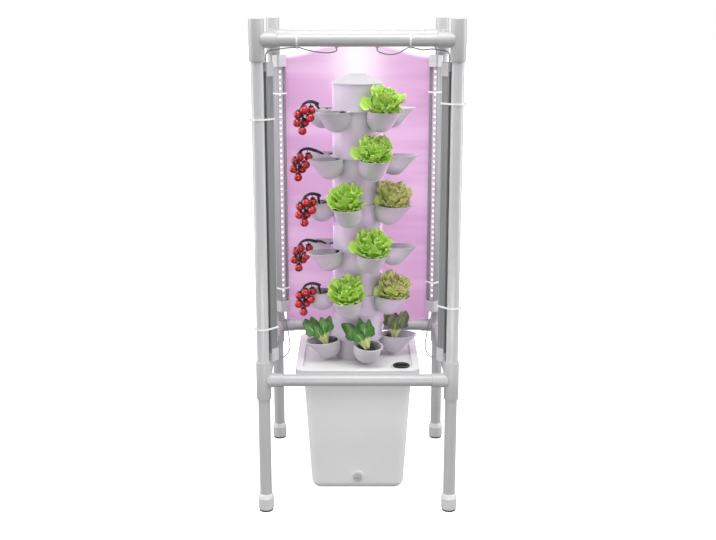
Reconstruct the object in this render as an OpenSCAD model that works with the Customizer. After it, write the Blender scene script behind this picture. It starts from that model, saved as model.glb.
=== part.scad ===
// Hydroponic tower on a square tank, inside a pipe frame with four LED bars.
// The origin is on the floor under the tower's axis. The front faces -Y.

/* [Pipe frame] */
// Distance between post centres, along both sides of the square
post_spacing = 500; // [460:10:560]
// Height from the floor to the top of the upper corner fittings
frame_height = 1315; // [1270:5:1400]
// Height of the lower rails' centre line
lower_rail_height = 374; // [330:2:420]
// Outer diameter of the pipes
pipe_od = 32; // [28:1:36]
// Wall of the pipes
pipe_wall = 2.2; // [1.6:0.2:3]
// Radial gap between a pipe and its socket
pipe_fit = 0.15; // [0.05:0.05:0.3]
// Wall of a fitting's sockets
fitting_wall = 2.2; // [2:0.2:5]
// Extra wall on a fitting's upright barrel
barrel_extra = 1.2; // [0.6:0.2:2]
// Length of a fitting's upright barrel
fitting_length = 104; // [96:2:120]
// Depth of a fitting's sockets
socket_depth = 34; // [28:1:36]
// Length of the flare at the root of a fitting's sockets
flare_length = 18; // [10:1:24]

/* [Feet] */
// Height of a foot cap
foot_cap_height = 45; // [40:1:60]
// Wall of a foot cap
foot_cap_wall = 4; // [3:0.5:7]
// Thickness of the closed end of a foot cap
foot_cap_floor = 5; // [3:0.5:8]
// Height of the ring above the foot cap's lower end
foot_ring_height = 30; // [20:1:32]
// Thickness of the rubber pad
foot_pad_thickness = 4; // [2:0.5:8]
// Diameter of the rubber pad
foot_pad_od = 38; // [30:1:40]

/* [Lamps] */
// Width of the lamp channel
lamp_width = 30; // [26:1:34]
// Depth of the lamp channel, without its cover
lamp_depth = 21; // [18:1:24]
// Wall of the lamp channel
lamp_wall = 1.8; // [1.2:0.2:2.4]
// Distance from the channel's back to the web that carries the board
lamp_web = 11; // [8:0.5:12]
// Thickness of the clear cover
cover_thickness = 1.6; // [1:0.2:2.4]
// Gap between post and lamp, and at each end of the lamp
lamp_gap = 0.3; // [0.2:0.1:0.5]
// Height of a lamp's end cap
end_cap_height = 34; // [28:1:44]
// How far an end cap covers the channel
end_cap_lap = 12; // [8:1:16]
// Wall of an end cap
end_cap_wall = 3; // [2:0.5:4]
// Distance between the upper end cap and the upper fitting
lamp_headroom = 3; // [1:0.5:8]
// Distance between LED chips
led_pitch = 16.7; // [12:0.1:24]
// Side of an LED chip
led_side = 5; // [3:0.5:6]
// Height of an LED chip
led_height = 1.4; // [0.8:0.2:1.8]
// Width of the LED board
board_width = 20; // [14:1:24]
// Thickness of the LED board
board_thickness = 1.4; // [1:0.2:2]

/* [Ties and leads] */
// Width of a cable tie
tie_width = 4.8; // [3.6:0.2:6]
// Thickness of a cable tie
tie_thickness = 1.3; // [1:0.1:1.8]
// Gap between a tie and what it holds
tie_gap = 0.3; // [0.2:0.1:0.5]
// Diameter of the lamp leads
lead_od = 3; // [2.4:0.2:3.6]
// Outer diameter of the grommets
grommet_od = 8; // [7:0.5:10]
// How far a grommet stands out of its pipe
grommet_out = 3.5; // [2.5:0.5:4]

/* [Reflector] */
// Thickness of the rear reflector panel
panel_thickness = 3; // [2:0.5:5]
// Gap between the panel's edges and the pipes, fittings and lamps round it
panel_gap = 0.3; // [0.2:0.1:0.5]

/* [Tank] */
// Width of the tank under its flange
tank_top_width = 300; // [280:2:320]
// Width of the tank at the floor
tank_bottom_width = 262; // [240:2:280]
// Height of the tank without its lid
tank_height = 346; // [320:2:360]
// Radius of the tank's upright corners and lower edges
tank_corner = 26; // [18:1:34]
// Wall of the tank
tank_wall = 3.5; // [2.5:0.5:5]
// Height of the feet at the tank's lower corners
tank_foot_height = 3.5; // [2:0.5:5]
// Width of the recess between the tank's feet
tank_recess = 154; // [120:2:170]
// How far the tank's flange stands out of its wall
flange_out = 17; // [13:1:20]
// Thickness of the tank's flange
flange_thickness = 8; // [5:1:10]
// Thickness of the lid seal
seal_thickness = 2; // [1:0.5:3]
// Wall of the lid's skirt
lid_skirt_wall = 4.6; // [3:0.2:8]
// Height of the lid's border above the seal
lid_border_height = 24; // [20:1:30]
// Width of the lid's raised border
lid_border = 20; // [14:1:24]
// Depth of the lid's panel below its border
lid_recess = 6; // [4:1:8]
// Thickness of the lid's panel
lid_panel = 5; // [3:0.5:6]
// Radial gap between the lid's skirt and the tank's flange
lid_gap = 0.4; // [0.2:0.1:0.8]
// Length of the lid's skirt below the seal
lid_skirt = 12; // [9:1:16]
// Distance from the filler's centre to the edges of the lid's panel
filler_margin = 30; // [29:1:34]
// Diameter of the filler hole
filler_hole = 40; // [30:1:42]
// Diameter of the filler cap
filler_cap_od = 47; // [44:1:50]
// Width of the rim round the filler hole
filler_rim = 7.5; // [5:0.5:8]
// Height of the drain above the floor
drain_height = 42; // [40:1:60]
// Diameter of the drain bore
drain_bore = 14.6; // [10:0.2:18]
// Diameter of the drain plug's head
drain_head = 24; // [20:1:32]

/* [Tower] */
// Distance between the rims of two tiers
tier_pitch = 129; // [124:1:140]
// Height of a tier's rim above its lower end
rim_height = 60; // [58:1:66]
// Outer diameter of the column
column_od = 139; // [130:1:150]
// Wall of the column
column_wall = 3; // [2.5:0.5:4]
// Length of the spigot under each tier
spigot_length = 12; // [8:1:16]
// Radial running gap of the spigots
turn_gap = 0.4; // [0.3:0.1:0.8]
// Outer radius of a pocket
pocket_radius = 38; // [34:0.5:40]
// Wall of a pocket
pocket_wall = 2.5; // [2:0.5:3]
// Tilt of a pocket's axis from upright
pocket_tilt = 42; // [38:1:44]
// Depth of a pocket below the rim
pocket_depth = 56; // [52:1:57]
// Thickness of the rim
rim_thickness = 3; // [2:0.5:5]
// How far the rim stands out
rim_out = 2; // [1:0.5:3]
// How far the flange between the pockets stands out of the column
ledge_out = 6; // [4:0.5:8]
// How far the collar on top of each tier stands out of the column
collar_out = 1; // [0.5:0.5:2]
// Height of the collar on top of each tier
collar_height = 6; // [4:1:10]
// Radius of the root windows between pocket and column
window_radius = 17; // [10:1:18]

/* [Top cap] */
// Height of the dome
dome_height = 20; // [14:1:30]
// Diameter of the flat on top of the dome
dome_flat = 49; // [36:1:60]
// Thickness of the cap's brim
brim_thickness = 4; // [3:0.5:6]
// How far the brim stands out of the collar
brim_out = 0.5; // [0.5:0.5:3]

/* [Water circuit] */
// Outer diameter of the riser pipe
riser_od = 16; // [14:0.5:20]
// Wall of the riser pipe
riser_wall = 2; // [1.5:0.5:2.5]
// Gap between riser, pump outlet and distributor
riser_fit = 0.15; // [0.1:0.05:0.3]
// Diameter of the distributor dish
distributor_od = 118; // [100:2:122]
// Side of the square pump body
pump_side = 56; // [50:1:64]
// Height of the pump's suction feet
pump_foot_height = 7; // [5:1:10]

/* [Plants] */
// Radius of a grow sponge
sponge_radius = 23; // [18:1:26]
// Length of a grow sponge
sponge_length = 32; // [26:1:34]
// Gap under a grow sponge, and under each plant
plant_gap = 0.3; // [0.2:0.1:0.6]
// Diameter of a tomato
tomato_od = 24; // [18:1:24]

/* [Hidden] */
$fn = 48;

// Frame
half = post_spacing / 2;
pipe_bore = pipe_od + 2 * pipe_fit;
socket_r = pipe_bore / 2 + fitting_wall;
barrel_r = socket_r + barrel_extra;
root_ease = 0.2;
socket_stop = fitting_length / 2 - socket_depth;
upper_rail_height = frame_height - fitting_length / 2;
foot_cap_od = pipe_bore + 2 * foot_cap_wall;
plug_recess = 1.5;
plug_length = 12;
foot_ring_out = 1.2;
foot_ring_width = 4;
foot_cap_lip = 1.6;
foot_barrel = foot_ring_height + foot_ring_width;
leg_bottom = foot_pad_thickness + foot_cap_floor;

// Lamps
lamp_bottom = lower_rail_height + fitting_length / 2 + lamp_gap;
lamp_top = upper_rail_height - fitting_length / 2 - lamp_headroom;
end_cap_free = end_cap_height - end_cap_lap;
channel_bottom = lamp_bottom + end_cap_free;
channel_length = lamp_top - lamp_bottom - 2 * end_cap_free;
cover_lip = 3;
cover_play = 0.1;
lamp_total_depth = lamp_depth + cover_thickness;
end_cap_play = 0.15;
end_cap_width = lamp_width + 2 * (end_cap_wall + end_cap_play);
end_cap_depth = lamp_total_depth + end_cap_wall + end_cap_play;
led_margin = 12;
led_count = floor((channel_length - 2 * (end_cap_lap + led_margin)) / led_pitch) + 1;
lamp_centre = pipe_od / 2 + lamp_gap + lamp_total_depth / 2;
lamp_inset = lamp_centre / sqrt(2);

// Reflector: it reaches from lamp to lamp, and its corners clear the fittings
fitting_end = half - fitting_length / 2;
panel_width = post_spacing - end_cap_width * sqrt(2) - panel_thickness - 2 * panel_gap;

// Ties: on each post the drop below the lamp's top and the rise above its lower end, the lengths of
// their tails, and the side of the post for the head
tie_places = [[141, 91], [102, 149], [108, 93], [112, 74]];
tie_tails = [[52, 62], [24, 62], [12, 12], [12, 12]];
tie_head_turns = [135, -135, 135, -135];
tie_head = [5, 8, 6.5];
tail_radius = 240;
tail_width = 4.2;
tie_step = 12;
// Ties on the upper rails: place along X, turn of the rail, direction of the lead, tail
rail_ties = [[131, 0, -90, 8], [-150, 0, -90, 8], [152, 180, 0, 8]];
// A tie round the left rear leg: height, turn of the head, tail
leg_tie = [185, -20, 50];

// Leads: points chosen by hand, from the lamp's end cap to the grommet
lead_wall_gap = 0.4;
lead_drop = pipe_od / 2 + lead_od / 2 + lead_wall_gap;
lead_straight = 5;
grommet_face = pipe_od / 2 + grommet_out;
front_grommets = [49, -52];
// Grommets of the rear rail: place along X, and turn round the rail from its top towards the tower
rear_grommets = [[-92, 90], [186, 135]];
leg_grommet_height = 275;
lead_start = half - lamp_inset;
lead_height = upper_rail_height - lead_drop;
rear_lead_y = half - lead_drop;
function rear_grommet_point(i, out) =
  [rear_grommets[i][0], half - out * sin(rear_grommets[i][1]),
    upper_rail_height + out * cos(rear_grommets[i][1])];

front_right_route = [
  [lead_start, -lead_start, lamp_top],
  [lead_start, -lead_start, lamp_top + 12],
  [lead_start - 2, -lead_start - 2, lamp_top + 22],
  [lead_start - 10.5, -lead_start - 7.5, lamp_top + 27.5],
  [206, -half + 7, lead_height - 6.6],
  [194, -half + 3, lead_height - 4.6],
  [180, -half + 0.5, lead_height - 4],
  [164, -half, lead_height - 6],
  [148, -half, lead_height - 3],
  [rail_ties[0][0] + 4, -half, lead_height],
  [rail_ties[0][0] - 4, -half, lead_height],
  [114, -half, lead_height - 7],
  [98, -half, lead_height - 15],
  [78, -half, lead_height - 17],
  [62, -half, lead_height - 14],
  [53, -half, lead_height - 10.6],
  [front_grommets[0], -half, upper_rail_height - grommet_face - lead_straight],
  [front_grommets[0], -half, upper_rail_height - grommet_face]
];
front_left_route = [
  [-lead_start, -lead_start, lamp_top],
  [-lead_start, -lead_start, lamp_top + 12],
  [-lead_start + 2, -lead_start - 2, lamp_top + 22],
  [-lead_start + 10.5, -lead_start - 7.5, lamp_top + 28],
  [-206, -half + 7, lead_height - 6],
  [-194, -half + 3, lead_height - 4],
  [-178, -half + 0.5, lead_height - 1.6],
  [-164, -half, lead_height - 0.5],
  [rail_ties[1][0] - 4, -half, lead_height],
  [rail_ties[1][0] + 4, -half, lead_height],
  [-132, -half, lead_height - 4],
  [-112, -half, lead_height - 9],
  [-92, -half, lead_height - 12],
  [-74, -half, lead_height - 13],
  [-62, -half, lead_height - 11.5],
  [-56, -half, lead_height - 10],
  [front_grommets[1], -half, upper_rail_height - grommet_face - lead_straight],
  [front_grommets[1], -half, upper_rail_height - grommet_face]
];
rear_left_route = [
  [-lead_start, lead_start, lamp_top],
  [-lead_start, lead_start, lamp_top + 14],
  [-lead_start + 1.5, lead_start - 1.5, upper_rail_height - 23],
  [-lead_start + 4.5, lead_start - 4.5, upper_rail_height - 7],
  [-216, rear_lead_y - 5.5, upper_rail_height + 5],
  [-204, rear_lead_y - 5, upper_rail_height + 3],
  [-196, rear_lead_y - 4, upper_rail_height - 5],
  [-189, rear_lead_y - 2, upper_rail_height - 12],
  [-180, rear_lead_y - 1, upper_rail_height - 10],
  [-166, rear_lead_y - 0.5, upper_rail_height - 3],
  [-rail_ties[2][0] - 4, rear_lead_y, upper_rail_height],
  [-rail_ties[2][0] + 4, rear_lead_y, upper_rail_height],
  [-136, rear_lead_y - 2, upper_rail_height - 5],
  [-120, rear_lead_y - 6, upper_rail_height - 10],
  [-106, rear_lead_y - 10, upper_rail_height - 8],
  [-97, rear_lead_y - 9.6, upper_rail_height - 4],
  rear_grommet_point(0, grommet_face + lead_straight),
  rear_grommet_point(0, grommet_face)
];
rear_right_route = [
  [lead_start, lead_start, lamp_top],
  [lead_start, lead_start, lamp_top + 12],
  [lead_start - 3, lead_start - 0.5, lamp_top + 22],
  [lead_start - 11.5, lead_start - 1.5, lamp_top + 29],
  [lead_start - 22.5, lead_start - 2, lamp_top + 32],
  [197, lead_start - 1, upper_rail_height - 22],
  [189.5, lead_start + 0.5, upper_rail_height - 20],
  rear_grommet_point(1, grommet_face + lead_straight),
  rear_grommet_point(1, grommet_face)
];
// The lower leads mirror each other, so one list serves both sides
leg_grommet_inset = grommet_face / sqrt(2);
lower_route = [
  [lead_start, lead_start, lamp_bottom],
  [lead_start, lead_start, lamp_bottom - 12],
  [lead_start - 4.5, lead_start - 3.5, lower_rail_height + 28],
  [222, lead_start - 4, lower_rail_height + 12],
  [218, lead_start - 4.5, lower_rail_height - 8],
  [214, lead_start - 4.5, lower_rail_height - 32],
  [212, lead_start - 3.5, lower_rail_height - 52],
  [212, lead_start - 2.5, lower_rail_height - 68],
  [216, lead_start - 1.5, lower_rail_height - 81],
  [223, lead_start - 0.5, lower_rail_height - 91],
  [228.5, half - leg_grommet_inset - 6.5, leg_grommet_height + 2.5],
  [half - leg_grommet_inset - 4, half - leg_grommet_inset - 4, leg_grommet_height],
  [half - leg_grommet_inset, half - leg_grommet_inset, leg_grommet_height]
];

// Tank
tank_top_r = tank_top_width / 2;
tank_bottom_r = tank_bottom_width / 2;
tank_slope = (tank_top_r - tank_bottom_r) / (tank_height - tank_corner);
flange_width = tank_top_width + 2 * flange_out;
lid_width = flange_width + 2 * (lid_gap + lid_skirt_wall);
lid_seat = tank_height + seal_thickness;
lid_top = lid_seat + lid_border_height;
panel_top = lid_top - lid_recess;
panel_side = lid_width - 2 * lid_border;
filler_offset = panel_side / 2 - filler_margin;
skirt_side = flange_width + 2 * lid_gap;
seal_width = 10;
socket_wall = 3;
socket_floor = 3;
lid_socket_depth = spigot_length + 1;
drain_hole_d = 16;
drain_hole_count = 8;
filler_rim_height = 3;
filler_play = 0.3;
filler_cap_thickness = 4;
filler_plug_length = 14;
filler_grip = [32, 5, 4];
drain_wall = tank_bottom_r + tank_slope * (drain_height - tank_corner);
drain_boss_d = drain_head + 8;
drain_boss_out = 4;
drain_face = -drain_wall - drain_boss_out;
drain_boss_depth = 10;
drain_play = 0.2;
washer_thickness = 2.5;
drain_head_thickness = 7;
drain_shank = washer_thickness + drain_boss_out + drain_boss_depth;
drain_grip = [drain_head - 8, 3, 4];

// Tower: tier 6 is the lowest
tier_count = 6;
pocket_count = 5;
pocket_step = 360 / pocket_count;
tier_turns = [38, 23.6, -14, 20, -14, 15];
column_r = column_od / 2;
bore_r = column_r - column_wall;
spigot_r = bore_r - turn_gap;
spigot_bore = spigot_r - column_wall;
spigot_root = 6;
pocket_inner = pocket_radius - pocket_wall;
pocket_drop = pocket_depth - pocket_radius;
pocket_clear = 0.15;
pocket_mouth_r = column_r + pocket_clear + pocket_inner / cos(pocket_tilt);
pocket_base_r = pocket_mouth_r - pocket_drop * tan(pocket_tilt);
pocket_tip_r = pocket_mouth_r + pocket_radius / cos(pocket_tilt);
pocket_length = (pocket_drop + (pocket_radius + rim_out) * sin(pocket_tilt)) / cos(pocket_tilt) + 8;
column_above = tier_pitch - rim_height;
tower_foot = panel_top;
tower_top = tower_foot + tier_count * tier_pitch;
collar_r = column_r + collar_out;

// Top cap
brim_r = collar_r + brim_out;
dome_base_r = brim_r - 1;
dome_drop = (pow(dome_base_r, 2) - pow(dome_flat / 2, 2) - pow(dome_height, 2)) / (2 * dome_height);
dome_radius = sqrt(pow(dome_base_r, 2) + pow(dome_drop, 2));
cap_wall = 3;

// Water circuit
tank_floor = tank_wall + tank_foot_height;
pump_bottom = tank_floor + pump_foot_height;
pump_top = pump_bottom + pump_side;
pump_front = 12;
chamber_r = pump_side / 2 - 10;
chamber_depth = 18;
screen_thickness = 4;
impeller_gap = 1.5;
shaft_d = 3;
shaft_play = 0.05;
outlet_od = riser_od - 2 * riser_wall - 2 * riser_fit;
outlet_length = 14;
riser_top = tower_top - spigot_length - 4;
distributor_thickness = 3;
distributor_lip = 7;
distributor_hub = 10;

// Plants: each entry is a pocket's angle from the front, to the right, in degrees
lettuce_turns = [[38], [23.6], [-14, 58], [20], [-14, 58], []];
tomato_turns = [[-106], [-120.4], [-86], [-124], [-86], []];
truss_turns = [[-70], [-84], [-58], [-86], [-58], []];
pak_choi_turns = [[], [], [], [], [], [-57, 15, 87]];
sponge_seat = sqrt(pow(pocket_inner, 2) - pow(sponge_radius, 2)) - plant_gap;
sponge_top = sponge_length - sponge_seat;
plant_base_r = pocket_base_r + (sponge_top + plant_gap) * sin(pocket_tilt);
plant_base_drop = pocket_drop - (sponge_top + plant_gap) * cos(pocket_tilt);
plant_lean = 18;
// Rings of a head of leaves: radius, height and ruffle, up the outside and down inside
lettuce_rings = [[9, 5, 0], [20, 24, 1.5], [36, 48, 3], [45, 66, 4], [34, 67, 4], [14, 58, 2]];
lettuce_heart = 64;
lettuce_lobes = 7;
pak_choi_rings = [[8, 5, 1], [17, 24, 3], [25, 44, 5], [33, 62, 6], [22, 64, 5], [8, 54, 2]];
pak_choi_heart = 50;
pak_choi_lobes = 5;
ring_steps = 3;
stem_d = 4;
pedicel_d = 2.4;
// Fruits of a truss: distance from the axis, offset sideways, height over the rim
tomato_places = [
  [164, 6, 2], [137, -5, -2], [149, 13, -21], [181, -7, -37], [154, -10, -37], [172, 4, -61]
];
// The truss's stem: from the sponge up out of the pocket, then out and down beside it
stem_root = 9;
tomato_foot = [
  [plant_base_r, 0, -plant_base_drop],
  [plant_base_r + stem_root * sin(pocket_tilt), 0, -plant_base_drop + stem_root * cos(pocket_tilt)],
  [plant_base_r + 9, 1, 6], [plant_base_r + 10, 4, 17]
];
tomato_stem = [[122, -6, 21], [146, -2, 22], [163, -10, 12], [166, -2, -16], [168, -2, -42]];
tomato_joints = [2, 1, 3, 3, 3, 4];

// Repeats its children at the four posts, turned so that +X and +Y point along the rails
module at_corners() {
  for (turn = [0, 90, 180, 270])
    rotate(turn)
      translate([-half, -half, 0])
        children();
}

// Repeats its children at the four lamps, with +X pointing at the tower and x = 0 at the lamp's back
module at_lamps() {
  at_corners()
    rotate(45)
      translate([pipe_od / 2 + lamp_gap, 0, 0])
        children();
}

// A straight length of pipe along +Z
module pipe(length) {
  overrun = 1;
  difference() {
    cylinder(d = pipe_od, h = length);
    translate([0, 0, -overrun])
      cylinder(d = pipe_od - 2 * pipe_wall, h = length + 2 * overrun);
  }
}

// A square with round corners, centred
module round_square(side, radius) {
  inner = side - 2 * radius;
  square([side, inner], center = true);
  square([inner, side], center = true);
  for (x = [-1, 1], y = [-1, 1])
    translate([x * inner / 2, y * inner / 2])
      circle(radius);
}

// A slab with round corners, standing on z
module slab(side, radius, z, height) {
  translate([0, 0, z])
    linear_extrude(height)
      round_square(side, radius);
}

// Frame
module foot_pads() {
  color("dimgray")
    at_corners()
      cylinder(d = foot_pad_od, h = foot_pad_thickness);
}

module foot_cap() {
  difference() {
    union() {
      cylinder(d = foot_cap_od, h = foot_barrel);
      translate([0, 0, foot_ring_height])
        cylinder(d = foot_cap_od + 2 * foot_ring_out, h = foot_ring_width);
      translate([0, 0, foot_barrel])
        cylinder(d1 = foot_cap_od, d2 = pipe_bore + 2 * foot_cap_lip, h = foot_cap_height - foot_barrel);
    }
    translate([0, 0, foot_cap_floor])
      cylinder(d = pipe_bore, h = foot_cap_height);
  }
}

module foot_caps() {
  color("white")
    at_corners()
      translate([0, 0, foot_pad_thickness])
        foot_cap();
}

module grommet_hole() {
  cylinder(d = grommet_od, h = pipe_od / 2);
}

module legs() {
  color("white")
    difference() {
      at_corners()
        translate([0, 0, leg_bottom])
          pipe(lower_rail_height - socket_stop - leg_bottom);
      for (x = [-1, 1])
        translate([x * half, half, leg_grommet_height])
          rotate([0, 90, x > 0 ? 225 : -45])
            grommet_hole();
    }
}

module posts() {
  color("white")
    at_corners()
      translate([0, 0, lower_rail_height + socket_stop])
        pipe(upper_rail_height - lower_rail_height - 2 * socket_stop);
}

// The outside of a level socket, which flares out towards the barrel
module level_socket() {
  root_r = barrel_r - root_ease;
  cylinder(r = socket_r, h = fitting_length / 2);
  cylinder(r = root_r, h = barrel_r);
  translate([0, 0, barrel_r])
    cylinder(r1 = root_r, r2 = socket_r, h = flare_length);
}

// A corner fitting: an upright barrel that the post passes through, and two level sockets
module corner_fitting() {
  overrun = 1;
  difference() {
    union() {
      translate([0, 0, -fitting_length / 2])
        cylinder(r = barrel_r, h = fitting_length);
      for (turn = [[0, 90, 0], [-90, 0, 0]])
        rotate(turn)
          level_socket();
    }
    cylinder(d = pipe_od - 2 * pipe_wall, h = 2 * socket_stop + 2 * overrun, center = true);
    for (turn = [[0, 0, 0], [180, 0, 0], [0, 90, 0], [-90, 0, 0]])
      rotate(turn)
        translate([0, 0, socket_stop])
          cylinder(d = pipe_bore, h = socket_depth + overrun);
  }
}

module lower_corners() {
  color("white")
    at_corners()
      translate([0, 0, lower_rail_height])
        corner_fitting();
}

module upper_corners() {
  color("white")
    at_corners()
      translate([0, 0, upper_rail_height])
        corner_fitting();
}

// Plugs close the upper fittings' free sockets
module corner_plugs() {
  color("whitesmoke")
    at_corners()
      translate([0, 0, frame_height - plug_recess - plug_length])
        cylinder(d = pipe_od, h = plug_length);
}

// A rail on one side of the frame: the front at turn 0, the right at 90
module rail(turn, height) {
  color("white")
    rotate(turn)
      translate([-half + socket_stop, -half, height])
        rotate([0, 90, 0])
          pipe(post_spacing - 2 * socket_stop);
}

module upper_front_rail() {
  difference() {
    rail(0, upper_rail_height);
    for (x = front_grommets)
      translate([x, -half, upper_rail_height])
        rotate([180, 0, 0])
          grommet_hole();
  }
}

module upper_rear_rail() {
  difference() {
    rail(180, upper_rail_height);
    for (place = rear_grommets)
      translate([place[0], half, upper_rail_height])
        rotate([place[1], 0, 0])
          grommet_hole();
  }
}

// A sheet between the rear posts, square to the floor
module panel_sheet(width, bottom, top) {
  translate([-width / 2, half - panel_thickness / 2, bottom])
    cube([width, panel_thickness, top - bottom]);
}

// Stands on the lower rear rail and reaches to the upper one, with a notch for the tie there
module reflector_panel() {
  pipe_r = pipe_od / 2;
  notch_width = tie_width + 2 * tie_gap;
  notch_height = tie_thickness + 2 * tie_gap;
  color("plum")
    difference() {
      union() {
        panel_sheet(2 * (fitting_end - panel_gap), lower_rail_height + pipe_r + panel_gap,
          upper_rail_height - pipe_r - panel_gap);
        panel_sheet(panel_width, lower_rail_height + barrel_r + panel_gap,
          upper_rail_height - barrel_r - panel_gap);
      }
      translate([-rail_ties[2][0], half, upper_rail_height - pipe_r])
        cube([notch_width, 2 * panel_thickness, 2 * notch_height], center = true);
    }
}

// Lamps
module channel_profile() {
  difference() {
    translate([0, -lamp_width / 2])
      square([lamp_depth, lamp_width]);
    translate([lamp_wall, -lamp_width / 2 + lamp_wall])
      square([lamp_web - 2 * lamp_wall, lamp_width - 2 * lamp_wall]);
    translate([lamp_web, -lamp_width / 2 + lamp_wall])
      square([lamp_depth, lamp_width - 2 * lamp_wall]);
  }
}

module lamp_channels() {
  color("slategray")
    at_lamps()
      translate([0, 0, channel_bottom])
        linear_extrude(channel_length)
          channel_profile();
}

// A board lies on the channel's web and carries one row of chips
module led_boards() {
  first = channel_bottom + channel_length / 2 - (led_count - 1) * led_pitch / 2;
  color("white")
    at_lamps()
      translate([lamp_web, 0, 0]) {
        translate([0, -board_width / 2, channel_bottom])
          cube([board_thickness, board_width, channel_length]);
        for (i = [0 : led_count - 1])
          translate([board_thickness, -led_side / 2, first + i * led_pitch - led_side / 2])
            cube([led_height, led_side, led_side]);
      }
}

// A clear cover closes the channel's open side, with two lips inside it
module cover_profile() {
  lip_y = lamp_width / 2 - lamp_wall - cover_play;
  translate([lamp_depth, -lamp_width / 2])
    square([cover_thickness, lamp_width]);
  for (side = [-1, 1])
    translate([lamp_depth - cover_lip, side * (lip_y - cover_thickness / 2) - cover_thickness / 2])
      square([cover_lip, cover_thickness]);
}

module lamp_covers() {
  color("lavenderblush", 0.5)
    at_lamps()
      translate([0, 0, channel_bottom])
        linear_extrude(channel_length)
          cover_profile();
}

// An end cap, standing on its closed end, with its open end up
module end_cap() {
  pocket_width = lamp_width + 2 * end_cap_play;
  difference() {
    translate([0, -end_cap_width / 2, 0])
      cube([end_cap_depth, end_cap_width, end_cap_height]);
    translate([-end_cap_wall, -pocket_width / 2, end_cap_free])
      cube([lamp_total_depth + end_cap_play + end_cap_wall, pocket_width, end_cap_height]);
    for (side = [-1, 1])
      translate([end_cap_depth, side * end_cap_width / 2, -1])
        rotate(45)
          cube([2 * end_cap_wall, 2 * end_cap_wall, 2 * (end_cap_height + 1)], center = true);
  }
}

module lamp_end_caps() {
  color("whitesmoke")
    at_lamps() {
      translate([0, 0, lamp_bottom])
        end_cap();
      translate([0, 0, lamp_top])
        mirror([0, 0, 1])
          end_cap();
    }
}

// The outline of a tie round a pipe and a square-cornered thing beside it, which reaches out to +X,
// or round the pipe alone where the reach is 0
function tie_outline(reach, side, grow) =
  reach == 0 ? [for (a = [0 : tie_step : 360 - tie_step]) (pipe_od / 2 + grow) * [cos(a), sin(a)]] :
  let (
    radius = pipe_od / 2 + grow,
    corner = [reach + grow, side + grow],
    tangent = atan2(corner[1], corner[0]) + acos(radius / norm(corner)),
    steps = ceil((360 - 2 * tangent) / tie_step)
  )
  concat(
    [for (i = [0 : steps])
      let (a = tangent + i * (360 - 2 * tangent) / steps) radius * [cos(a), sin(a)]],
    [[corner[0], -corner[1]], corner]
  );

// A tie in the plane z = 0, with its head at an angle and a tail that droops from it
module tie(reach, side, head_turn, tail) {
  head_r = pipe_od / 2 + tie_gap + tie_thickness;
  arc = tail / tail_radius * 180 / PI;
  translate([0, 0, -tie_width / 2])
    linear_extrude(tie_width)
      difference() {
        polygon(tie_outline(reach, side, tie_gap + tie_thickness));
        polygon(tie_outline(reach, side, tie_gap));
      }
  rotate(head_turn) {
    translate([head_r - tie_thickness / 2, -tie_head[1] / 2, -tie_head[2] / 2])
      cube(tie_head);
    translate([head_r + tie_head[0] - tie_thickness, 0, -tail_radius])
      rotate([90, 0, 0])
        rotate(90 - arc)
          rotate_extrude(angle = arc)
            translate([tail_radius - tie_thickness / 2, -tail_width / 2])
              square([tie_thickness, tail_width]);
  }
}

module cable_ties() {
  color("ivory") {
    for (post = [0 : 3], i = [0 : 1])
      rotate(90 * post)
        translate([-half, -half, i == 0 ? lamp_top - tie_places[post][0] : lamp_bottom + tie_places[post][1]])
          rotate(45)
            tie(pipe_od / 2 + lamp_gap + lamp_total_depth, lamp_width / 2,
              tie_head_turns[post], tie_tails[post][i]);
    for (place = rail_ties)
      rotate(place[1])
        translate([place[0], -half, upper_rail_height])
          rotate([90, 0, 90])
            rotate(place[2])
              tie(lead_drop + lead_od / 2, lead_od / 2, 90, place[3]);
    translate([-half, half, leg_tie[0]])
      tie(0, 0, leg_tie[1], leg_tie[2]);
  }
}

// Leads
module grommet() {
  inside = pipe_od / 2 - pipe_wall - 1.5;
  translate([0, 0, inside])
    cylinder(d = grommet_od, h = grommet_face - inside);
}

module lead_grommets() {
  color("gainsboro") {
    for (x = front_grommets)
      translate([x, -half, upper_rail_height])
        rotate([180, 0, 0])
          grommet();
    for (place = rear_grommets)
      translate([place[0], half, upper_rail_height])
        rotate([place[1], 0, 0])
          grommet();
    for (x = [-1, 1])
      translate([x * half, half, leg_grommet_height])
        rotate([0, 90, x > 0 ? 225 : -45])
          grommet();
  }
}

function unit(v) = v / norm(v);
function heading(route, i) =
  unit(route[min(i + 1, len(route) - 1)] - route[max(i - 1, 0)]);
// Two directions square to a heading, from a reference that no lead runs along
function side_of(h) = unit(cross(h, [0.3, 0.9, 0.31]));
function ring(route, i, diameter, sides) =
  let (h = heading(route, i), u = side_of(h), v = cross(h, u))
  [for (k = [0 : sides - 1])
    route[i] + diameter / 2 * (cos(360 * k / sides) * u + sin(360 * k / sides) * v)];

// A tube swept along a route's points
module tube(route, diameter, sides) {
  last = (len(route) - 1) * sides;
  points = [for (i = [0 : len(route) - 1]) each ring(route, i, diameter, sides)];
  skin = [for (i = [0 : len(route) - 2], k = [0 : sides - 1])
    let (a = i * sides + k, b = i * sides + (k + 1) % sides)
    each [[a, a + sides, b], [b, a + sides, b + sides]]];
  start = [[for (k = [0 : sides - 1]) k]];
  end = [[for (k = [0 : sides - 1]) last + sides - 1 - k]];
  polyhedron(points, concat(skin, start, end));
}

module lead(route) {
  color("white")
    tube(route, lead_od, 8);
}

// Tank
// A ball whose poles are points of its outline
module corner_ball(radius) {
  rotate_extrude()
    intersection() {
      circle(radius);
      translate([0, -radius])
        square([radius, 2 * radius]);
    }
}

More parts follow.
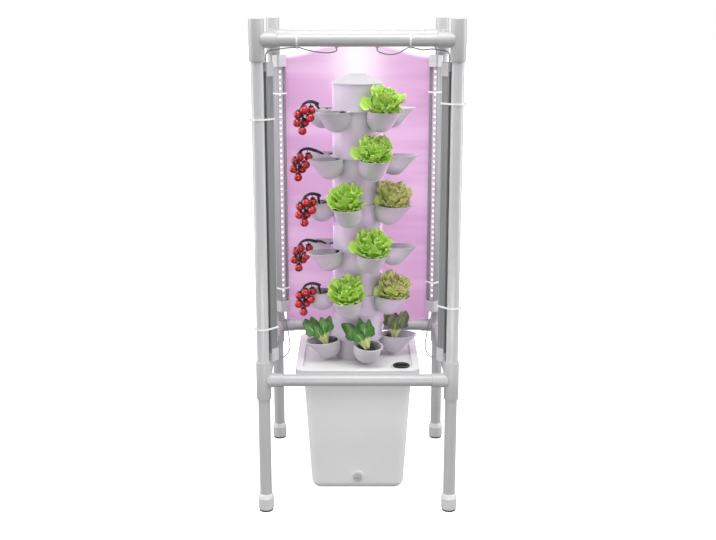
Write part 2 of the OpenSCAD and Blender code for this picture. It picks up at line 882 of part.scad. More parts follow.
module tank_form(inset, top) {
  bottom_r = tank_bottom_r - tank_corner;
  top_r = tank_top_r - tank_corner;
  corner = tank_corner - inset;
  hull()
    for (x = [-1, 1], y = [-1, 1]) {
      translate([x * bottom_r, y * bottom_r, tank_corner])
        corner_ball(corner, $fn = 32);
      translate([x * top_r, y * top_r, tank_height])
        cylinder(r = corner, h = top, $fn = 32);
    }
}

module tank_body() {
  overrun = 2;
  lip = 0.01;
  color("white")
    difference() {
      union() {
        tank_form(0, lip);
        slab(flange_width, tank_corner, tank_height - flange_thickness, flange_thickness);
        translate([0, drain_face, drain_height])
          rotate([-90, 0, 0])
            cylinder(d = drain_boss_d, h = drain_boss_out + drain_boss_depth);
      }
      difference() {
        tank_form(tank_wall, overrun);
        translate([-tank_top_r, -tank_top_r, 0])
          cube([tank_top_width, tank_top_width, tank_floor]);
      }
      for (turn = [0, 90])
        rotate(turn)
          translate([-tank_recess / 2, -tank_top_r, -overrun])
            cube([tank_recess, tank_top_width, tank_foot_height + overrun]);
      translate([0, drain_face - overrun, drain_height])
        rotate([-90, 0, 0])
          cylinder(d = drain_bore, h = drain_boss_out + drain_boss_depth + 2 * overrun);
    }
}

module lid_seal() {
  overrun = 1;
  inner = flange_width - 2 * seal_width;
  color("darkgray")
    difference() {
      slab(flange_width, tank_corner, tank_height, seal_thickness);
      slab(inner, tank_corner - seal_width, tank_height - overrun, seal_thickness + 2 * overrun);
    }
}

// Places its children round the tower's axis
module around(count, radius) {
  for (i = [0 : count - 1])
    rotate(i * 360 / count)
      translate([radius, 0, 0])
        children();
}

module tank_lid() {
  overrun = 1;
  under = panel_top - lid_panel;
  socket_bore = bore_r;
  socket_outer = socket_bore + socket_wall;
  socket_bottom = panel_top - lid_socket_depth - socket_floor;
  inner_side = panel_side - 2 * lid_panel;
  corner = tank_corner + lid_gap + (lid_width - skirt_side) / 2;
  color("white")
    difference() {
      union() {
        difference() {
          slab(lid_width, corner, lid_seat - lid_skirt, lid_skirt + lid_border_height);
          slab(skirt_side, tank_corner + lid_gap, lid_seat - lid_skirt - overrun, lid_skirt + overrun);
          slab(inner_side, tank_corner - lid_panel, lid_seat - overrun, under - lid_seat + overrun);
          slab(panel_side, tank_corner, panel_top, lid_recess + overrun);
        }
        translate([0, 0, socket_bottom])
          cylinder(r = socket_outer, h = under - socket_bottom);
        translate([filler_offset, -filler_offset, panel_top])
          cylinder(d = filler_hole + 2 * filler_rim, h = filler_rim_height);
      }
      translate([0, 0, socket_bottom + socket_floor])
        cylinder(r = socket_bore, h = lid_socket_depth + overrun);
      translate([0, 0, socket_bottom - overrun]) {
        cylinder(d = riser_od + 2 * riser_fit, h = socket_floor + 2 * overrun);
        around(drain_hole_count, (socket_bore + riser_od / 2) / 2)
          cylinder(d = drain_hole_d, h = socket_floor + 2 * overrun);
      }
      translate([filler_offset, -filler_offset, under - overrun])
        cylinder(d = filler_hole, h = lid_panel + filler_rim_height + 2 * overrun);
    }
}

module filler_cap() {
  seat = panel_top + filler_rim_height;
  color("black")
    translate([filler_offset, -filler_offset, seat]) {
      cylinder(d = filler_cap_od, h = filler_cap_thickness);
      translate([0, 0, -filler_plug_length])
        cylinder(d = filler_hole - 2 * filler_play, h = filler_plug_length);
      translate([-filler_grip[0] / 2, -filler_grip[1] / 2, filler_cap_thickness])
        cube(filler_grip);
    }
}

module drain_plug() {
  head = drain_face - washer_thickness - drain_head_thickness;
  color("white")
    difference() {
      translate([0, head, drain_height])
        rotate([-90, 0, 0]) {
          cylinder(d = drain_head, h = drain_head_thickness);
          cylinder(d = drain_bore - 2 * drain_play, h = drain_head_thickness + drain_shank);
        }
      translate([0, head, drain_height])
        cube([drain_grip[0], 2 * drain_grip[1], drain_grip[2]], center = true);
    }
}

module drain_washer() {
  overrun = 1;
  color("dimgray")
    translate([0, drain_face - washer_thickness, drain_height])
      rotate([-90, 0, 0])
        difference() {
          cylinder(d = drain_head - 2, h = washer_thickness);
          translate([0, 0, -overrun])
            cylinder(d = drain_bore, h = washer_thickness + 2 * overrun);
        }
}

// Water circuit: the pump stands on the tank's floor, with its outlet on the tower's axis
module pump_body() {
  overrun = 1;
  axis_height = pump_bottom + pump_side / 2;
  color("dimgray")
    difference() {
      union() {
        translate([-pump_side / 2, -pump_front, pump_bottom])
          cube([pump_side, pump_side, pump_side]);
        cylinder(d = outlet_od, h = pump_top + outlet_length);
      }
      translate([0, -pump_front - overrun, axis_height])
        rotate([-90, 0, 0]) {
          cylinder(r = chamber_r, h = chamber_depth + overrun);
          cylinder(d = shaft_d + 2 * shaft_play, h = pump_side - pump_front);
        }
      translate([0, 0, axis_height])
        cylinder(d = outlet_od - 3, h = pump_side + outlet_length);
      translate([-pump_side, -pump_side, -overrun])
        cube([2 * pump_side, 2 * pump_side, pump_bottom + overrun]);
    }
}

module pump_impeller() {
  vane_count = 6;
  vane_thickness = 2;
  hub_d = 10;
  vane_r = chamber_r - impeller_gap;
  width = chamber_depth - 2 * impeller_gap;
  shaft_length = pump_side - pump_front - 2 * impeller_gap - 1;
  color("steelblue")
    translate([0, -pump_front + impeller_gap, pump_bottom + pump_side / 2])
      rotate([-90, 0, 0]) {
        cylinder(d = hub_d, h = width);
        cylinder(d = shaft_d, h = shaft_length);
        for (i = [0 : vane_count - 1])
          rotate(i * 360 / vane_count)
            translate([0, -vane_thickness / 2, 0])
              cube([vane_r, vane_thickness, width]);
      }
}

module pump_screen() {
  overrun = 1;
  slot_count = 7;
  slot_width = 2;
  pitch = 2 * chamber_r / slot_count;
  color("black")
    translate([0, -pump_front - screen_thickness, pump_bottom + pump_side / 2])
      rotate([-90, 0, 0])
        difference() {
          cylinder(r = chamber_r + 6, h = screen_thickness);
          for (i = [0 : slot_count - 1])
            let (x = (i - (slot_count - 1) / 2) * pitch, span = 2 * sqrt(pow(chamber_r, 2) - x * x) - 6)
              translate([x - slot_width / 2, -span / 2, -overrun])
                cube([slot_width, span, screen_thickness + 2 * overrun]);
        }
}

module pump_feet_cups() {
  inset = 9;
  color("black")
    for (x = [-1, 1], y = [0, 1])
      translate([x * (pump_side / 2 - inset), -pump_front + inset + y * (pump_side - 2 * inset), tank_floor])
        cylinder(r1 = 8, r2 = 4, h = pump_foot_height);
}

module riser_pipe() {
  overrun = 1;
  color("whitesmoke")
    difference() {
      translate([0, 0, pump_top])
        cylinder(d = riser_od, h = riser_top - pump_top);
      translate([0, 0, pump_top - overrun])
        cylinder(d = riser_od - 2 * riser_wall, h = riser_top - pump_top + 2 * overrun);
    }
}

// A dish on the riser's end, with a ring of holes that the water drips from
module distributor() {
  overrun = 1;
  hole_d = 4;
  hole_count = 15;
  wall = 3;
  outer_r = distributor_od / 2;
  hub_r = riser_od / 2 + riser_fit + wall;
  seat = riser_top;
  color("whitesmoke")
    difference() {
      union() {
        translate([0, 0, seat])
          cylinder(r = outer_r, h = distributor_thickness + distributor_lip);
        translate([0, 0, seat - distributor_hub])
          cylinder(r = hub_r, h = distributor_hub);
      }
      translate([0, 0, seat + distributor_thickness])
        cylinder(r = outer_r - wall, h = distributor_lip + overrun);
      translate([0, 0, seat - distributor_hub - overrun])
        cylinder(d = riser_od + 2 * riser_fit, h = distributor_hub + overrun);
      translate([0, 0, seat - overrun]) {
        cylinder(d = riser_od - 2 * riser_wall, h = distributor_thickness + 2 * overrun);
        around(hole_count, outer_r - 2 * wall - hole_d)
          cylinder(d = hole_d, h = distributor_thickness + 2 * overrun);
      }
    }
}

// Tower
// The rim height of a tier: tier 1 is on top
function rim_of(tier) = tower_foot + (tier_count - tier) * tier_pitch + rim_height;

// Moves its children to a pocket's rounded end, with +Z along the pocket's axis
module at_pocket(angle) {
  rotate(angle - 90)
    translate([pocket_base_r, 0, -pocket_drop])
      rotate([0, pocket_tilt, 0])
        children();
}

// A tilted cup with a round end, which runs past the rim
module cup(radius) {
  sphere(radius);
  cylinder(r = radius, h = pocket_length);
}

// A level slice below the rim
module rim_slice(depth) {
  translate([0, 0, -depth])
    cylinder(r = pocket_tip_r + 2 * rim_out + pocket_radius, h = depth);
}

module tier_pockets(turn) {
  for (i = [0 : pocket_count - 1]) {
    intersection() {
      at_pocket(turn + i * pocket_step)
        cup(pocket_radius);
      rim_slice(pocket_depth + 1);
    }
    intersection() {
      at_pocket(turn + i * pocket_step)
        cup(pocket_radius + rim_out);
      rim_slice(rim_thickness);
    }
  }
}

// One moulded tier, with its rim at z = 0: a column with a spigot below, a collar above and five
// tilted pockets that open into the column through their root windows
module tier(turn) {
  overrun = 1;
  color("white")
    difference() {
      union() {
        translate([0, 0, -rim_height])
          cylinder(r = column_r, h = tier_pitch);
        translate([0, 0, column_above - collar_height])
          cylinder(r = collar_r, h = collar_height);
        translate([0, 0, -rim_height - spigot_length])
          cylinder(r = spigot_r, h = spigot_length + 1);
        translate([0, 0, -rim_thickness])
          cylinder(r = column_r + ledge_out, h = rim_thickness);
        tier_pockets(turn);
      }
      translate([0, 0, -rim_height - spigot_length - overrun])
        cylinder(r = spigot_bore, h = spigot_length + 2 * overrun);
      translate([0, 0, -rim_height])
        cylinder(r1 = spigot_bore, r2 = bore_r, h = spigot_root);
      translate([0, 0, -rim_height + spigot_root])
        cylinder(r = bore_r, h = tier_pitch);
      for (i = [0 : pocket_count - 1]) {
        at_pocket(turn + i * pocket_step)
          cup(pocket_inner);
        rotate(turn + i * pocket_step - 90)
          translate([bore_r - 2 * column_wall, 0, -pocket_drop])
            rotate([0, 90, 0])
              cylinder(r = window_radius, h = 4 * column_wall);
      }
    }
}

module tier_at(tier) {
  translate([0, 0, rim_of(tier)])
    tier(tier_turns[tier - 1]);
}

// The solid of a dome that springs from a radius
module dome(radius) {
  intersection() {
    translate([0, 0, -dome_drop])
      sphere(radius);
    cylinder(r = radius, h = dome_height);
  }
}

module top_cap() {
  overrun = 1;
  hollow_r = dome_radius - cap_wall;
  color("white")
    translate([0, 0, tower_top]) {
      difference() {
        union() {
          cylinder(r = brim_r, h = brim_thickness);
          translate([0, 0, brim_thickness])
            dome(dome_radius);
          translate([0, 0, -spigot_length])
            cylinder(r = spigot_r, h = spigot_length + 1);
        }
        translate([0, 0, -spigot_length - overrun])
          cylinder(r = spigot_bore, h = spigot_length + overrun);
        intersection() {
          translate([0, 0, brim_thickness - dome_drop])
            sphere(hollow_r);
          cylinder(r = spigot_bore, h = brim_thickness + dome_height - cap_wall);
        }
      }
    }
}

// Plants
// A sponge lies in the rounded end of its pocket
module sponges(tier) {
  pockets = concat(lettuce_turns[tier - 1], tomato_turns[tier - 1], pak_choi_turns[tier - 1]);
  color("dimgray")
    translate([0, 0, rim_of(tier)])
      for (angle = pockets)
        at_pocket(angle)
          translate([0, 0, -sponge_seat])
            cylinder(r = sponge_radius, h = sponge_length);
}

// A head of leaves with a ruffled rim: rings of points from a pointed base to the heart
module leaf_head(rings, heart, lobes) {
  steps = ring_steps * lobes;
  count = len(rings);
  points = concat(
    [[0, 0, 0]],
    [for (row = rings, k = [0 : steps - 1])
      let (a = 360 * k / steps, wave = row[2] * cos(lobes * a))
      [(row[0] + wave) * cos(a), (row[0] + wave) * sin(a), row[1] + wave / 2]],
    [[0, 0, heart]]
  );
  base = [for (k = [0 : steps - 1]) [0, 1 + k, 1 + (k + 1) % steps]];
  skin = [for (i = [0 : count - 2], k = [0 : steps - 1])
    let (a = 1 + i * steps + k, b = 1 + i * steps + (k + 1) % steps)
    each [[a, a + steps, b], [b, a + steps, b + steps]]];
  top = [for (k = [0 : steps - 1])
    [1 + (count - 1) * steps + k, 1 + count * steps, 1 + (count - 1) * steps + (k + 1) % steps]];
  polyhedron(points, concat(base, skin, top));
}

// Moves its children to the middle of a sponge's upper face, leaning outwards
module on_sponge(angle, lean) {
  rotate(angle - 90)
    translate([plant_base_r, 0, -plant_base_drop])
      rotate([0, lean, 0])
        children();
}

// A round rod between two points
module rod(from, to, diameter) {
  span = to - from;
  translate(from)
    rotate([0, acos(span[2] / norm(span)), atan2(span[1], span[0])])
      cylinder(d = diameter, h = norm(span));
}

// A truss that grows out of one pocket and hangs beside it, drawn with its fruits along +X
module tomato_truss(pocket, angle) {
  turn = pocket - angle;
  foot = [for (p = tomato_foot)
    [p[0] * cos(turn) - p[1] * sin(turn), p[0] * sin(turn) + p[1] * cos(turn), p[2]]];
  rotate(angle - 90) {
    tube(concat(foot, tomato_stem), stem_d, 6);
    for (i = [0 : len(tomato_places) - 1]) {
      rod(tomato_stem[tomato_joints[i]], tomato_places[i], pedicel_d);
      translate(tomato_places[i])
        sphere(d = tomato_od);
    }
  }
}

module plants(tier) {
  row = tier - 1;
  translate([0, 0, rim_of(tier)]) {
    color("yellowgreen")
      for (angle = lettuce_turns[row])
        on_sponge(angle, plant_lean)
          leaf_head(lettuce_rings, lettuce_heart, lettuce_lobes);
    color("forestgreen")
      for (angle = pak_choi_turns[row])
        on_sponge(angle, plant_lean)
          leaf_head(pak_choi_rings, pak_choi_heart, pak_choi_lobes);
    color("crimson")
      for (i = [0 : 1 : len(tomato_turns[row]) - 1])
        tomato_truss(tomato_turns[row][i], truss_turns[row][i]);
  }
}

foot_pads();
foot_caps();
legs();
posts();
lower_corners();
upper_corners();
corner_plugs();
rail(0, lower_rail_height);  // lower_front_rail
rail(90, lower_rail_height);  // lower_right_rail
rail(180, lower_rail_height);  // lower_rear_rail
rail(270, lower_rail_height);  // lower_left_rail
upper_front_rail();
rail(90, upper_rail_height);  // upper_right_rail
upper_rear_rail();
rail(270, upper_rail_height);  // upper_left_rail
reflector_panel();
lamp_channels();
led_boards();
lamp_covers();
lamp_end_caps();
cable_ties();
lead_grommets();
lead(front_right_route);  // front_right_lead
lead(front_left_route);  // front_left_lead
lead(rear_left_route);  // rear_left_lead
lead(rear_right_route);  // rear_right_lead
lead([for (p = lower_route) [-p[0], p[1], p[2]]]);  // lower_left_lead
lead(lower_route);  // lower_right_lead
tank_body();
lid_seal();
tank_lid();
filler_cap();
drain_plug();
drain_washer();
pump_body();
pump_impeller();
pump_screen();
pump_feet_cups();
riser_pipe();
distributor();
tier_at(1);  // tier_1
tier_at(2);  // tier_2
tier_at(3);  // tier_3
tier_at(4);  // tier_4
tier_at(5);  // tier_5
tier_at(6);  // tier_6
top_cap();
sponges(1);  // tier_1_sponges
sponges(2);  // tier_2_sponges
sponges(3);  // tier_3_sponges
sponges(4);  // tier_4_sponges
sponges(5);  // tier_5_sponges
sponges(6);  // tier_6_sponges
plants(1);  // tier_1_plants
plants(2);  // tier_2_plants
plants(3);  // tier_3_plants
plants(4);  // tier_4_plants
plants(5);  // tier_5_plants
plants(6);  // tier_6_plants
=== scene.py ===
"""A hydroponic tower inside a pipe frame with four LED bars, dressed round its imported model."""

import logging
import math
import random
from collections.abc import Callable, Iterable, Sequence
from dataclasses import dataclass, field, replace
from enum import Enum
from functools import cache

import bmesh
import bpy
from mathutils import Matrix, Vector, noise


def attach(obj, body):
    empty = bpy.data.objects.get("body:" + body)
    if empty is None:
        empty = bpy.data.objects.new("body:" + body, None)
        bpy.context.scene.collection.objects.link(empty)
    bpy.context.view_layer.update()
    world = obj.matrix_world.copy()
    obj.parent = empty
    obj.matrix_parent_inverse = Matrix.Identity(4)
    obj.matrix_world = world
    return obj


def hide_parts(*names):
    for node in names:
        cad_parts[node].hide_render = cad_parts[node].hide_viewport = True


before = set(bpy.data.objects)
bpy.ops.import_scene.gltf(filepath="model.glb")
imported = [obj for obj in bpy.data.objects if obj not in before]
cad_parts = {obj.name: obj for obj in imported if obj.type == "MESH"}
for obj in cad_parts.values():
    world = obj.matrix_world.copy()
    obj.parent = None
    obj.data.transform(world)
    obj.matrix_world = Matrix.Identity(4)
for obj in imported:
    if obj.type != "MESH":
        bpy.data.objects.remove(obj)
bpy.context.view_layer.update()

LOG = logging.getLogger("hydroponic_tower")
MM = 0.001
STAND = "stand"
TIERS = 6
CORNERS = ((-1.0, -1.0), (1.0, -1.0), (1.0, 1.0), (-1.0, 1.0))
MERGE_DISTANCE = 1e-6

Colour = tuple[float, float, float]
Point = tuple[float, float, float]
Profile = list[tuple[float, float]]
Verts = list[bmesh.types.BMVert]

WHITE: Colour = (1.0, 1.0, 1.0)
BLACK: Colour = (0.0, 0.0, 0.0)


def linear(level: int) -> float:
    """Turns a display level from 0 to 255 into linear light."""
    value = level / 255
    return value / 12.92 if value <= 0.04045 else ((value + 0.055) / 1.055) ** 2.4


def display(red: int, green: int, blue: int) -> Colour:
    """Turns three display levels into a colour in linear light."""
    return linear(red), linear(green), linear(blue)


def operator(operation: str, reflected: bool = False) -> Callable[["Signal", "Signal | float"], "Signal"]:
    """Makes one operator of a signal.

    Args:
        operation: What its Math node does.
        reflected: Whether the other value comes first.

    Returns:
        The operator's method.
    """
    def method(this: "Signal", other: "Signal | float") -> "Signal":
        """Adds the Math node."""
        return this.math(operation, *((other, this) if reflected else (this, other)))

    return method


class Signal:
    """A shader socket whose operators add Math nodes."""

    __add__ = __radd__ = operator("ADD")
    __sub__, __rsub__ = operator("SUBTRACT"), operator("SUBTRACT", True)
    __mul__ = __rmul__ = operator("MULTIPLY")
    __truediv__, __rtruediv__ = operator("DIVIDE"), operator("DIVIDE", True)
    __pow__, __rpow__ = operator("POWER"), operator("POWER", True)
    __gt__, __lt__ = operator("GREATER_THAN"), operator("LESS_THAN")

    def __init__(self, graph: "ShaderGraph", socket: bpy.types.NodeSocket | None) -> None:
        """Keeps the socket and the graph that it belongs to."""
        self.graph = graph
        self.socket = socket

    def math(self, operation: str, *values: "Signal | float") -> "Signal":
        """Adds one Math node to the graph."""
        return self.graph.node("ShaderNodeMath", {"operation": operation}, dict(enumerate(values)))

    def __abs__(self) -> "Signal":
        """Drops the sign."""
        return self.math("ABSOLUTE", self)

    def sine(self) -> "Signal":
        """Takes the sine."""
        return self.math("SINE", self)

    def rise(self, low: float, high: float) -> "Signal":
        """Goes smoothly from 0 at low to 1 at high."""
        settings = {"interpolation_type": "SMOOTHSTEP"}
        return self.graph.node("ShaderNodeMapRange", settings, {"Value": self, 1: low, 2: high})


Value = Signal | float | int | Sequence[float]


def either(first: Signal, second: Signal) -> Signal:
    """Joins two masks, so that each of them shows."""
    return 1.0 - (1.0 - first) * (1.0 - second)


class ShaderGraph:
    """The nodes of one material or of the surround."""

    def __init__(self, owner: bpy.types.Material | bpy.types.World) -> None:
        """Starts the nodes afresh.

        Args:
            owner: The material or surround that they belong to.
        """
        owner.use_nodes = True
        self.owner = owner
        self.tree = owner.node_tree
        self.tree.nodes.clear()

    def node(self, kind: str, settings: dict[str, object], inputs: dict[str | int, Value],
             output: str | int = 0) -> Signal:
        """Makes any node.

        Args:
            kind: The node's type.
            settings: Properties that are set first.
            inputs: Values or links for its sockets, by name or place.
            output: The socket to return.

        Returns:
            The chosen output, empty for a node that has none.
        """
        made = self.tree.nodes.new(kind)
        for key, value in settings.items():
            setattr(made, key, value)
        for key, value in inputs.items():
            self.feed(made.inputs[key], value)
        return Signal(self, made.outputs[output] if made.outputs else None)

    def feed(self, socket: bpy.types.NodeSocket, value: Value) -> None:
        """Links a signal to a socket, or sets its number or colour.

        Args:
            socket: The socket.
            value: The signal, number, colour or vector.
        """
        if isinstance(value, Signal):
            self.tree.links.new(value.socket, socket)
        elif isinstance(value, (int, float)):
            socket.default_value = float(value)
        else:
            socket.default_value = (*value, 1.0) if socket.type == "RGBA" else tuple(value)

    def place(self, kind: str = "Object") -> Signal:
        """Gives a point's place, by default in the object's frame."""
        return self.node("ShaderNodeTexCoord", {}, {}, kind)

    def axes(self, vector: Signal) -> list[Signal]:
        """Splits a vector into its three parts."""
        split = self.node("ShaderNodeSeparateXYZ", {}, {0: vector}).socket.node
        return [Signal(self, socket) for socket in split.outputs]

    def stretch(self, vector: Signal, scale: Point) -> Signal:
        """Scales a vector's axes."""
        return self.node("ShaderNodeMapping", {}, {"Vector": vector, "Scale": scale})

    def noise(self, vector: Signal, scale: float, detail: float = 3.0, roughness: float = 0.5) -> Signal:
        """Makes soft noise from 0 to 1."""
        return self.node("ShaderNodeTexNoise", {},
                         {"Vector": vector, "Scale": scale, "Detail": detail, "Roughness": roughness})

    def mix(self, factor: Value, first: Value, second: Value) -> Signal:
        """Mixes two colours."""
        return self.node("ShaderNodeMix", {"data_type": "RGBA"}, {0: factor, 6: first, 7: second}, 2)

    def bump(self, height: Signal, strength: float, depth: float) -> Signal:
        """Turns a height into a normal."""
        return self.node("ShaderNodeBump", {}, {"Height": height, "Strength": strength, "Distance": depth})

    def uv(self) -> list[Signal]:
        """Gives the two directions of the piece's own UV map."""
        return self.axes(self.node("ShaderNodeUVMap", {"uv_map": "UVMap"}, {}))[:2]

    def surface(self, **inputs: Value) -> bpy.types.Material:
        """Ends the graph in one surface shader.

        Args:
            **inputs: Its sockets, in lower case with underscores.

        Returns:
            The finished material.
        """
        names = {key.replace("_", " ").title(): value for key, value in inputs.items()}
        shader = self.node("ShaderNodeBsdfPrincipled", {}, names)
        self.node("ShaderNodeOutputMaterial", {}, {0: shader})
        return self.owner


@dataclass(frozen=True)
class Moulding:
    """A plain plastic or rubber, with mottled colour and a fine skin."""

    name: str
    colour: Colour
    shade: Colour
    roughness: float = 0.4
    grain: float = 900.0
    depth: float = 0.00004
    coat: float = 0.0
    mottle: float = 7.0

    def material(self) -> bpy.types.Material:
        """Builds the finish.

        Returns:
            Its material.
        """
        graph = ShaderGraph(bpy.data.materials.new(self.name))
        place = graph.place()
        cloud = graph.noise(place, self.mottle, 4.0, 0.6)
        fine = graph.noise(place, self.grain, 2.0)
        return graph.surface(
            base_color=graph.mix(cloud.rise(0.35, 0.75) * 0.6, self.colour, self.shade),
            roughness=self.roughness + 0.16 * (cloud - 0.5) + 0.05 * (fine - 0.5),
            coat_weight=self.coat, coat_roughness=0.12, normal=graph.bump(fine, 0.5, self.depth))


@dataclass(frozen=True)
class Extrusion:
    """Drawn metal with lines along the lamp."""

    name: str
    colour: Colour
    shade: Colour
    roughness: float = 0.42
    lines: Point = (900.0, 900.0, 3.0)
    cloud: float = 12.0

    def material(self) -> bpy.types.Material:
        """Builds the finish.

        Returns:
            Its material.
        """
        graph = ShaderGraph(bpy.data.materials.new(self.name))
        place = graph.place()
        lines = graph.noise(graph.stretch(place, self.lines), 1.0)
        return graph.surface(
            base_color=graph.mix(lines.rise(0.3, 0.7), self.colour, self.shade), metallic=0.3,
            roughness=self.roughness + 0.2 * (graph.noise(place, self.cloud) - 0.5),
            normal=graph.bump(lines, 0.35, 0.00003))


@dataclass(frozen=True)
class LedStrip:
    """A white board whose chips glow; the chips stand higher than the board."""

    name: str
    board: Colour
    glow: Colour
    half_spacing: float = 0.25
    board_face: float = 0.0288
    track_waves: float = 376.0
    track: Colour = (0.42, 0.34, 0.40)
    chip: Colour = (1.0, 0.93, 0.97)
    board_glow: Colour = (0.02, 0.01, 0.02)

    def material(self) -> bpy.types.Material:
        """Builds the finish.

        Returns:
            Its material.
        """
        graph = ShaderGraph(bpy.data.materials.new(self.name))
        x, y, z = graph.axes(graph.place())
        reach = (2 * self.half_spacing - abs(x) - abs(y)) * (1 / math.sqrt(2))
        chip = reach > self.board_face
        tracks = ((z * self.track_waves).sine() > 0.2) * 0.35
        board = graph.mix(tracks, self.board, self.track)
        return graph.surface(
            base_color=graph.mix(chip, board, self.chip), roughness=0.45,
            emission_color=graph.mix(chip, self.board_glow, self.glow), emission_strength=1.0)


@dataclass(frozen=True)
class ClearPlastic:
    """A thin clear cover with a slight haze."""

    name: str
    colour: Colour
    opacity: float = 0.05
    haze: float = 60.0

    def material(self) -> bpy.types.Material:
        """Builds the finish.

        Returns:
            Its material.
        """
        graph = ShaderGraph(bpy.data.materials.new(self.name))
        haze = graph.noise(graph.stretch(graph.place(), (1.0, 1.0, 0.15)), self.haze)
        return graph.surface(base_color=self.colour, roughness=0.12 + 0.1 * haze,
                             alpha=self.opacity + 0.08 * haze)


@dataclass(frozen=True)
class GlowFilm:
    """A film painted with pink lamp light, deeper at the sides, with level streaks and a painted white glow
    on top.
    """

    name: str
    # The film's colours are painted pink lamp light; deep is the deeper pink towards the sides.
    painted_pink_light: Colour
    deep: Colour
    pale: Colour
    light: float = 0.3
    low_light: float = 0.08
    corner: float = 1.192
    middle: float = 1.232
    white: Colour = (0.97, 0.93, 0.97)
    halo_light: Colour = (0.18, 0.16, 0.18)
    head_light: Colour = (0.55, 0.52, 0.55)

    def material(self) -> bpy.types.Material:
        """Builds the finish.

        Returns:
            Its material.
        """
        graph = ShaderGraph(bpy.data.materials.new(self.name))
        place = graph.place()
        x, _, z = graph.axes(place)
        off = abs(x)
        wide = graph.noise(graph.stretch(place, (2.2, 1.0, 11.0)), 1.0, 2.0, 0.4)
        fine = graph.noise(graph.stretch(place, (3.0, 1.0, 34.0)), 1.0)
        streak = (wide * 0.7 + fine * 0.3).rise(0.40, 0.66)
        # Painted lamp light: the pink deepens towards the sides, nearer the lamps.
        ground = graph.mix(off.rise(0.10, 0.21) * 0.55, self.painted_pink_light, self.deep)
        lower = graph.mix(streak * 0.62, ground, self.pale)
        edge = self.middle - (self.middle - self.corner) * off.rise(0.03, 0.215)
        # The band above the sloping top edge is white and carries a painted glow.
        head = (z - edge).rise(0.0, 0.02)
        # Painted white glow in the top middle.
        halo = (1.0 - off.rise(0.0, 0.15)) ** 1.6 * z.rise(1.04, 1.17)
        # Painted glow: the sheet gives off its pink as light, a little more towards the bottom.
        share = self.light + self.low_light * (1.0 - z.rise(0.55, 1.1))
        glow = graph.mix(halo, graph.mix(1.0 - share, lower, BLACK), self.halo_light)
        return graph.surface(
            base_color=graph.mix(either(head, 0.8 * halo), lower, self.white), roughness=0.5,
            emission_color=graph.mix(head, glow, self.head_light), emission_strength=1.0,
            normal=graph.bump(graph.noise(place, 420.0), 0.2, 0.00004))


@dataclass(frozen=True)
class Foam:
    """Dark open-pored grow sponge."""

    name: str
    colour: Colour
    pore: Colour
    cells: float = 520.0
    damp: float = 40.0

    def material(self) -> bpy.types.Material:
        """Builds the finish.

        Returns:
            Its material.
        """
        graph = ShaderGraph(bpy.data.materials.new(self.name))
        place = graph.place()
        cells = graph.node("ShaderNodeTexVoronoi", {}, {"Vector": place, "Scale": self.cells})
        return graph.surface(
            base_color=graph.mix(cells.rise(0.1, 0.6), self.pore, self.colour),
            roughness=0.75 + 0.25 * graph.noise(place, self.damp), normal=graph.bump(cells, 0.9, 0.0008))


@dataclass(frozen=True)
class Leaf:
    """A leaf blade, coloured along and across its own map, with ribs and veins."""

    name: str
    heart: Colour
    blade: Colour
    edge: Colour
    rib: Colour
    rib_width: float = 0.10
    rib_end: float = 0.9
    gloss: float = 0.42
    veins: float = 9.0
    turn: tuple[float, float] = (0.05, 0.75)
    slope: float = 0.55
    patches: float = 90.0
    wander: float = 220.0

    def material(self) -> bpy.types.Material:
        """Builds the finish.

        Returns:
            Its material.
        """
        graph = ShaderGraph(bpy.data.materials.new(self.name))
        across, along = graph.uv()
        place = graph.place()
        side = abs(across - 0.5) * 2.0
        patch = graph.noise(place, self.patches)
        wander = graph.noise(place, self.wander, 2.0)
        grown = along.rise(*self.turn)
        outer = either(side.rise(0.55, 1.0), along.rise(0.74, 1.0))
        colour = graph.mix(grown, self.heart, self.blade)
        colour = graph.mix(outer * grown * (0.35 + 0.65 * patch), colour, self.edge)
        slant = ((along - side * self.slope) * (self.veins * math.tau) + wander * 3.0).sine()
        vein = slant.rise(0.72, 1.0) * (1.0 - side.rise(0.7, 0.98))
        main = 1.0 - (side / (self.rib_width * (1.25 - along))).rise(0.5, 1.0)
        ribs = either(main * (1.0 - along.rise(self.rib_end - 0.3, self.rib_end)), vein * 0.3)
        shade = graph.mix(ribs, colour, self.rib)
        return graph.surface(
            base_color=graph.mix(patch.rise(0.3, 0.8) * 0.12, shade, self.heart),
            roughness=self.gloss + 0.2 * (wander - 0.5), subsurface_weight=0.12,
            subsurface_radius=(0.003, 0.004, 0.001), normal=graph.bump(ribs + 0.5 * wander, 0.6, 0.0006))


@dataclass(frozen=True)
class Fruit:
    """A ripe tomato's skin."""

    name: str
    ripe: Colour
    deep: Colour
    blush: float = 70.0
    dots: float = 900.0

    def material(self) -> bpy.types.Material:
        """Builds the finish.

        Returns:
            Its material.
        """
        graph = ShaderGraph(bpy.data.materials.new(self.name))
        place = graph.place()
        blush = graph.noise(place, self.blush, 2.0)
        dots = graph.noise(place, self.dots, 2.0)
        return graph.surface(
            base_color=graph.mix(blush.rise(0.3, 0.7), self.deep, self.ripe),
            roughness=0.16 + 0.12 * dots, coat_weight=0.5, coat_roughness=0.06,
            subsurface_weight=0.08, subsurface_radius=(0.004, 0.001, 0.001),
            normal=graph.bump(dots, 0.15, 0.00005))


@dataclass(frozen=True)
class Stalk:
    """A stem or calyx with fine hairs and ridges."""

    name: str
    green: Colour
    dark: Colour
    ridges: float = 500.0
    cloud: float = 60.0

    def material(self) -> bpy.types.Material:
        """Builds the finish.

        Returns:
            Its material.
        """
        graph = ShaderGraph(bpy.data.materials.new(self.name))
        place = graph.place()
        ridge = graph.noise(place, self.ridges)
        cloud = graph.noise(place, self.cloud)
        return graph.surface(base_color=graph.mix(cloud.rise(0.3, 0.7), self.dark, self.green),
                             roughness=0.55 + 0.2 * ridge, normal=graph.bump(ridge, 0.6, 0.0004))


